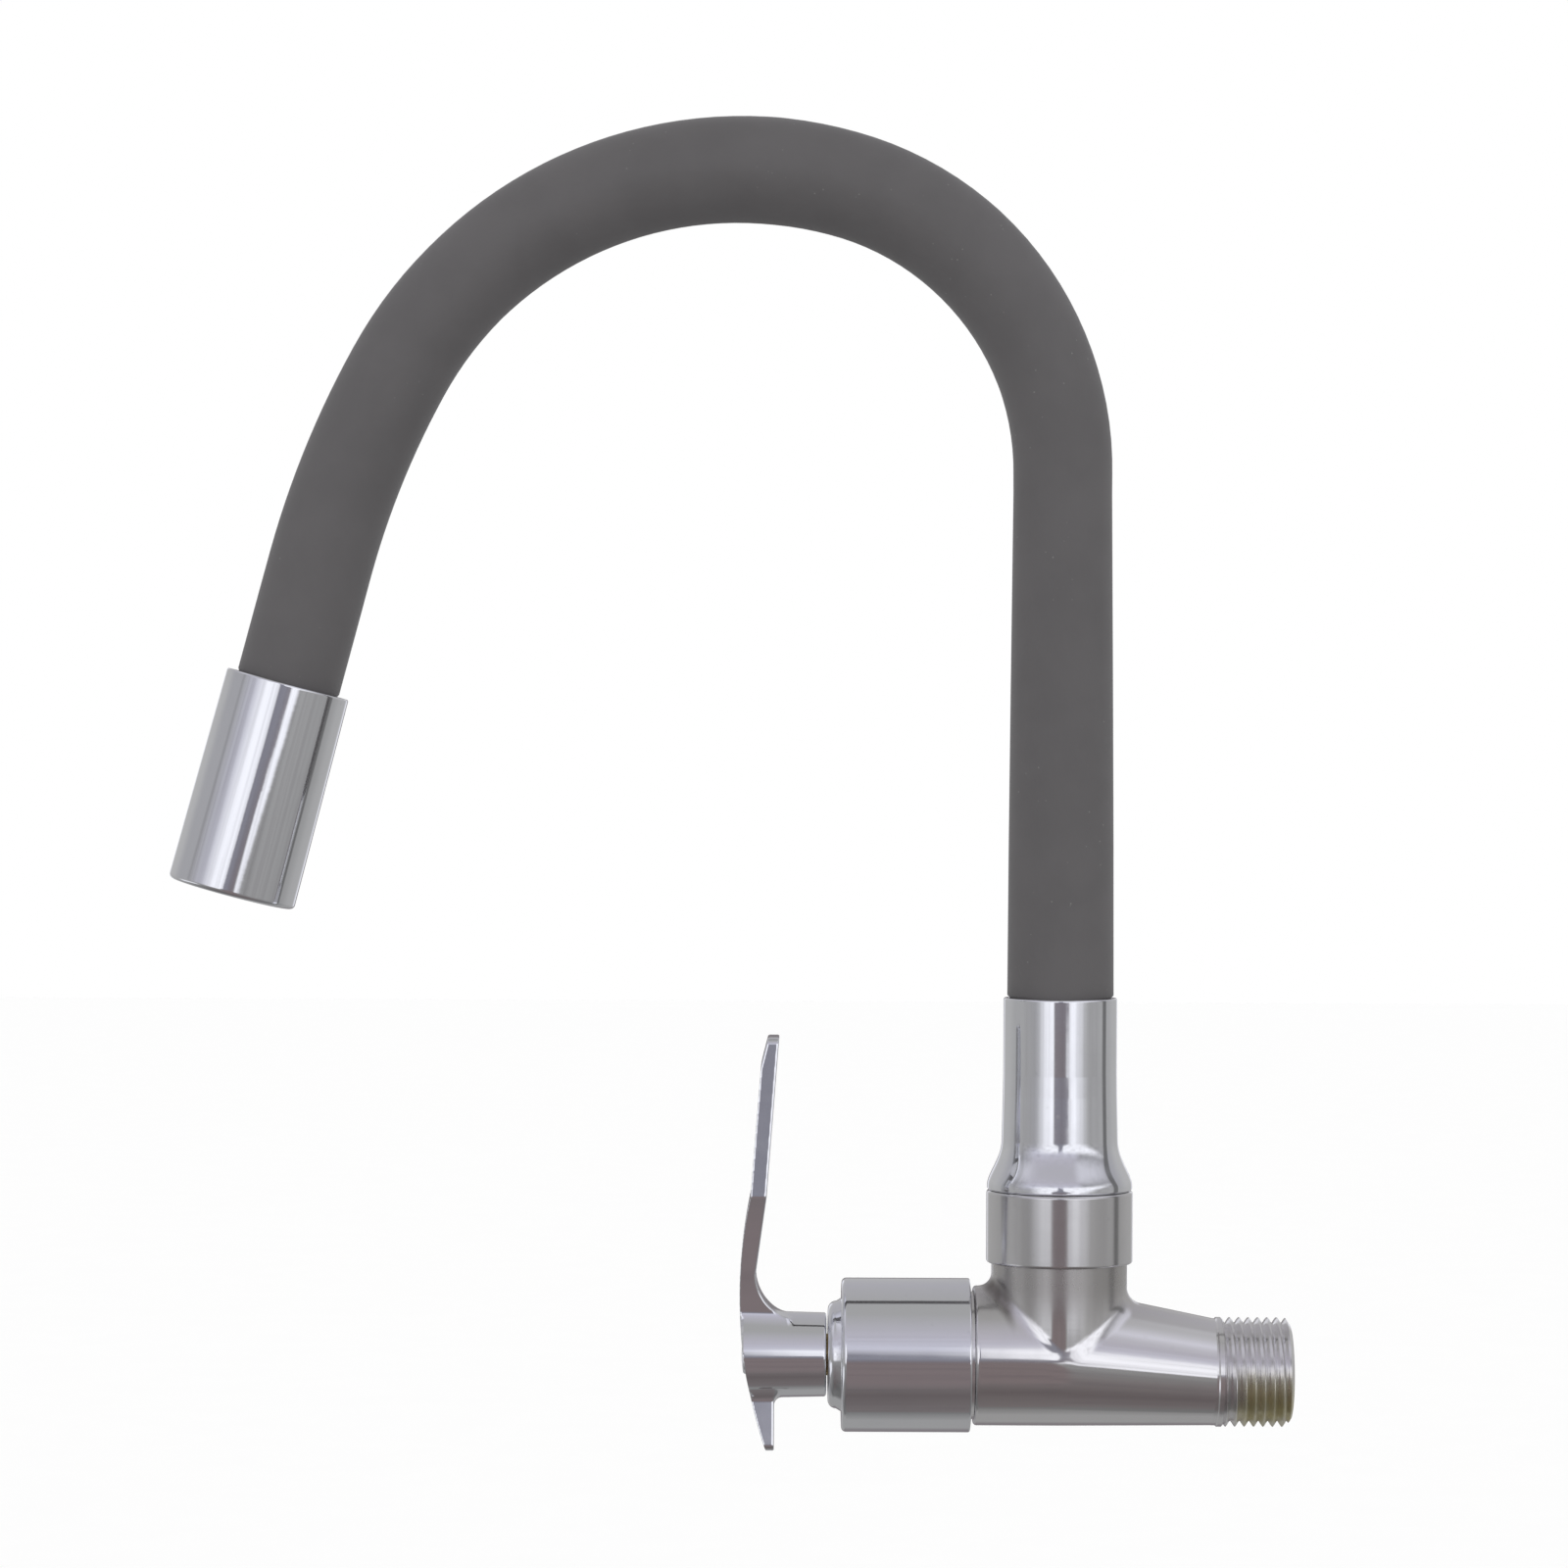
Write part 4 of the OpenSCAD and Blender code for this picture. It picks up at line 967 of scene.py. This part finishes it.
# The fitted and hidden CAD nodes by their finish
SLOT_NODES = {
    "brass": ("cartridge_housing", "spindle", "spout_tail", "outlet_nipple"),
    "steel": ("spindle_clip", "handle_screw", "lower_crimp_ring", "upper_crimp_ring",
              *(f"support_tube_{i}" for i in range(1, 8))),
    "black_rubber": ("cartridge_seal", "housing_o_ring", "spindle_o_rings", "tail_o_rings", "aerator_gasket"),
    "white_plastic": ("friction_washer", "glide_rings", "aerator_housing", "aerator_screen"),
    "grey_plastic": ("aerator_ring",),
    "ceramic": ("fixed_disc", "moving_disc"),
}


class FAUCET_OT_fitted_parts(Operator):
    """Gives the machined, moulded and sealing parts their finishes"""

    bl_idname = "faucet.fitted_parts"
    bl_label = "Fitted parts"

    def execute(self, context):
        finishes = {
            "brass": material("turned_brass", turned_metal, (0.66, 0.50, 0.24), 0.22),
            "steel": material("turned_steel", turned_metal, (0.60, 0.60, 0.61), 0.28),
            "black_rubber": material("black_rubber", moulded, (0.018, 0.018, 0.019), 0.50),
            "white_plastic": material("white_plastic", moulded, (0.74, 0.74, 0.72), 0.34),
            "grey_plastic": material("grey_plastic", moulded, (0.30, 0.31, 0.32), 0.36),
            "ceramic": material("pressed_ceramic", moulded, (0.80, 0.79, 0.76), 0.16, 3e-6, 0.3),
        }
        for slot, names in SLOT_NODES.items():
            for name in names:
                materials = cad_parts[name].data.materials
                materials.clear()
                materials.append(finishes[slot])
        return {"FINISHED"}


# Share of the light that the plating gives back
PLATING = 0.87
# Display greys of the tent's walls by elevation in degrees
FRONT_WALL = ((-90, 118), (-56, 90), (-33, 119), (-6, 142), (17, (197, 197, 210)), (35, (180, 178, 188)),
              (70, 160), (90, 159))
SIDE_WALL = ((-90, 118), (-55, 100), (-20, 144), (-6, 160), (26, (158, 158, 163)), (40, (200, 200, 208)),
             (55, (206, 206, 216)), (75, 165), (90, 160))
BACK_WALL = ((-90, 120), (-72, 150), (-28, 150), (-12, 164), (6, 174), (45, (168, 167, 172)), (90, 162))
# Display greys of the tent's lights, of the dark flags between them and of its seams
FRONT_LIGHT, BACK_LIGHT, SIDE_LIGHT = (248, 249, 255), (222, 223, 230), (228, 229, 235)
BROWN, FLAG_HIGH, FLAG_LOW, BACK_FLAG = (112, 97, 98), (129, 129, 139), (121, 111, 112), (124, 120, 123)
STREAK, SEAM = (88, 82, 87), 92


def level(shade):
    """Linear light of an 8-bit display grey."""
    c = shade / 255
    return c / 12.92 if c <= 0.04045 else ((c + 0.055) / 1.055) ** 2.4


def grey(shade):
    """The light that the plating shows as a display grey, given as one level or three."""
    shade = shade if isinstance(shade, tuple) else (shade,) * 3
    return tuple(level(v) / PLATING for v in shade)


class Tent:
    """What polished surfaces see of the light tent, by direction.

    turn is its angle in degrees from the camera, growing towards the wall, and climb its elevation."""

    def __init__(self, g):
        self.g = g
        self.x, self.y, self.z = g.axes(g.value("ShaderNodeTexCoord", None, "Generated"))
        self.turn = self.angle(-1.0 * self.y)
        self.climb = g.math("ARCSINE", self.z) * (180 / math.pi)

    def angle(self, ahead):
        """Angle in degrees across from an axis."""
        return self.g.math("ARCTAN2", self.x, ahead) * (180 / math.pi)

    def wall(self, stops):
        """A wall's shade by elevation."""
        rows = [((e + 90) / 180, grey(v)) for e, v in stops]
        return self.g.value("ShaderNodeValToRGB", {"stops": rows}, 0, Fac=(self.climb + 90) / 180)

    def front(self):
        """The camera's side: a light to the right, one to the left and a dark flag between and below them."""
        g, turn, climb = self.g, self.turn, self.climb
        sides = turn.smooth(22, 42) + turn.smooth(-45, -85)
        front = g.mix(sides, self.wall(FRONT_WALL), self.wall(SIDE_WALL))
        brown = climb.smooth(-8, -34) * abs(turn).smooth(75, 30)
        front = g.mix(brown * 0.4, front, grey(BROWN))
        right = turn.smooth(2.3, 3.0) * (turn - climb * 2).smooth(62, 32)
        right = right * (climb + turn * 1.1).smooth(3.5, 7.5)
        lean = turn - climb.smooth(-1.5, 2.5) * 9.5
        left = turn.smooth(-58, -24) * lean.smooth(-14, -18) * climb.smooth(-9, -3.5)
        lights = (right * climb.smooth(-7.2, -6.0) + left) * climb.smooth(25, 12)
        front = g.mix(lights, front, grey(FRONT_LIGHT))
        low_flag = turn.smooth(13, 10) * (climb - turn * 0.35).smooth(1, -4)
        reach = g.math("MAXIMUM", low_flag, turn.smooth(3.0, 2.3))
        flag = reach * lean.smooth(-16, -13) * (climb + turn * 2).smooth(13.5, 7) * climb.smooth(-50, -32)
        tail = turn.smooth(2, 3) * turn.smooth(15.5, 13) * (climb + turn * 0.28).smooth(3.0, 1.6)
        flag = g.math("MAXIMUM", flag, tail * climb.smooth(-3.6, -3.1))
        front = g.mix(flag, front, g.mix(climb.smooth(0, -6), grey(FLAG_HIGH), grey(FLAG_LOW)))
        across = g.value("ShaderNodeCombineXYZ", None, 0, X=turn / 11, Y=climb / 7)
        streaks = g.noise(1.0, 4.0, 0.65, across).smooth(0.42, 0.72) * climb.smooth(50, 20)
        return g.mix(streaks * 0.3, front, grey(STREAK))

    def back(self):
        """The far side: two narrow lights with a dark flag between them."""
        g, climb = self.g, self.climb
        behind = abs(self.angle(self.y))
        back = g.mix(behind.smooth(48, 75), self.wall(BACK_WALL), self.wall(SIDE_WALL))
        lights = behind.smooth(10, 14) * behind.smooth(28, 15) * climb.smooth(-16, -8) * climb.smooth(25, 12)
        back = g.mix(lights, back, grey(BACK_LIGHT))
        flag = behind.smooth(11, 8) * climb.smooth(13, 7) * climb.smooth(-50, -32)
        return g.mix(flag, back, grey(BACK_FLAG))

    def whole(self):
        """Both sides, with a soft light before the lever and dark seams where the sides meet."""
        g, turn, climb, x, z = self.g, self.turn, self.climb, self.x, self.z
        split = self.y - z * 0.03 - x * 0.14
        tent = g.mix(split.smooth(-0.02, 0.02), self.front(), self.back())
        side_light = turn.smooth(-120, -104) * turn.smooth(-60, -76)
        side_light = side_light * climb.smooth(-27, -18) * climb.smooth(-7.5, -11)
        tent = g.mix(side_light, tent, grey(SIDE_LIGHT))
        top_seam = abs(split).smooth(0.065, 0.03) * x.smooth(0.2, 0.08) * (x.smooth(-0.75, -0.3) * 0.75 + 0.2)
        side_seam = abs(split).smooth(0.13, 0.06) * x.smooth(0.7, 0.9) * 0.85
        return g.mix(top_seam * z.smooth(-0.1, 0.3) + side_seam, tent, grey(SEAM))


class FAUCET_OT_stage(Operator):
    """Sets the camera, the pale floor and the soft light tent"""

    bl_idname = "faucet.stage"
    bl_label = "Stage"

    def execute(self, context):
        scene = context.scene
        stage = scene.faucet_stage
        scene.view_settings.view_transform = "Standard"

        camera = bpy.data.objects.new("camera", bpy.data.cameras.new("camera"))
        scene.collection.objects.link(camera)
        camera.data.sensor_fit = "HORIZONTAL"
        sensor = 36
        camera.data.sensor_width = sensor
        camera.data.lens = sensor * stage.focal_pixels / stage.picture_pixels
        camera.location = (stage.camera_x, -stage.camera_distance, stage.camera_height)
        camera.rotation_euler = (math.radians(90), stage.camera_roll, 0)
        camera.data.clip_start, camera.data.clip_end = 0.01, 50
        scene.camera = camera

        deselect()
        bpy.ops.mesh.primitive_grid_add(x_subdivisions=4, y_subdivisions=4, size=12,
                                        location=(0, 0, stage.floor_height))
        floor = added("floor")
        floor.data.materials.append(material("pale_floor", self.pale_floor))
        floor.visible_glossy = False
        deselect()

        world = bpy.data.worlds.new("light_tent")
        scene.world = world
        world.use_nodes = True
        self.light_tent(Graph(world.node_tree))
        return {"FINISHED"}

    @staticmethod
    def pale_floor(g):
        """White for the camera and a plain pale grey for the light that it gives back."""
        seen = g.value("ShaderNodeLightPath", None, "Is Camera Ray")
        fleck = g.noise(30, 3.0)
        pale = g.mix(fleck, (0.985, 0.985, 0.985), (1.0, 1.0, 1.0))
        tone = g.mix(seen, (0.65, 0.65, 0.65), pale)
        g.surface(Base_Color=tone, Roughness=0.9, Specular_IOR_Level=0.0)

    @staticmethod
    def light_tent(g):
        """White for the camera, soft light for matt surfaces and the tent for polished ones."""
        rays = g.node("ShaderNodeLightPath")
        seen = Value(g, rays.outputs["Is Camera Ray"])
        mirrored = Value(g, rays.outputs["Is Glossy Ray"])
        tent = Tent(g)
        matt = 1.50 - tent.z * 0.76
        matt_light = g.value("ShaderNodeCombineColor", None, 0, Red=matt, Green=matt, Blue=matt)
        light = g.mix(mirrored, matt_light, tent.whole())
        light = g.mix(seen, light, (1, 1, 1))
        glow = g.node("ShaderNodeBackground", None, Color=light, Strength=1.0)
        end = g.node("ShaderNodeOutputWorld")
        g.tree.links.new(glow.outputs[0], end.inputs[0])


OPERATORS = (
    FAUCET_OT_body_casting, FAUCET_OT_inlet_thread, FAUCET_OT_bonnet_sleeve, FAUCET_OT_lever_handle,
    FAUCET_OT_index_cap, FAUCET_OT_union_nut, FAUCET_OT_riser_ferrule, FAUCET_OT_silicone_sleeve,
    FAUCET_OT_water_hose, FAUCET_OT_outlet_shell, FAUCET_OT_fitted_parts, FAUCET_OT_stage,
)


class FAUCET_PT_panel(Panel):
    """Lists the faucet's pieces, sizes and finishes"""

    bl_label = "Utility sink faucet"
    bl_idname = "FAUCET_PT_panel"
    bl_space_type = "VIEW_3D"
    bl_region_type = "UI"
    bl_category = "Faucet"

    def draw(self, context):
        column = self.layout.column(align=True)
        for operator in OPERATORS:
            column.operator(operator.bl_idname)
        for group in (context.scene.faucet_sizes, context.scene.faucet_finishes, context.scene.faucet_stage):
            box = self.layout.box().column(align=True)
            for key in type(group).__annotations__:
                box.prop(group, key)


CLASSES = (FaucetSizes, FaucetFinishes, FaucetStage, *OPERATORS, FAUCET_PT_panel)


def register():
    """Makes the faucet's classes and settings known."""
    for item in CLASSES:
        bpy.utils.register_class(item)
    bpy.types.Scene.faucet_sizes = PointerProperty(type=FaucetSizes)
    bpy.types.Scene.faucet_finishes = PointerProperty(type=FaucetFinishes)
    bpy.types.Scene.faucet_stage = PointerProperty(type=FaucetStage)


def unregister():
    """Takes the faucet's settings and classes away."""
    for key in ("faucet_sizes", "faucet_finishes", "faucet_stage"):
        delattr(bpy.types.Scene, key)
    for item in reversed(CLASSES):
        bpy.utils.unregister_class(item)


def main():
    """Builds every piece and the stage."""
    register()
    for operator in OPERATORS:
        group, name = operator.bl_idname.split(".")
        getattr(getattr(bpy.ops, group), name)()


if __name__ == "__main__":
    main()
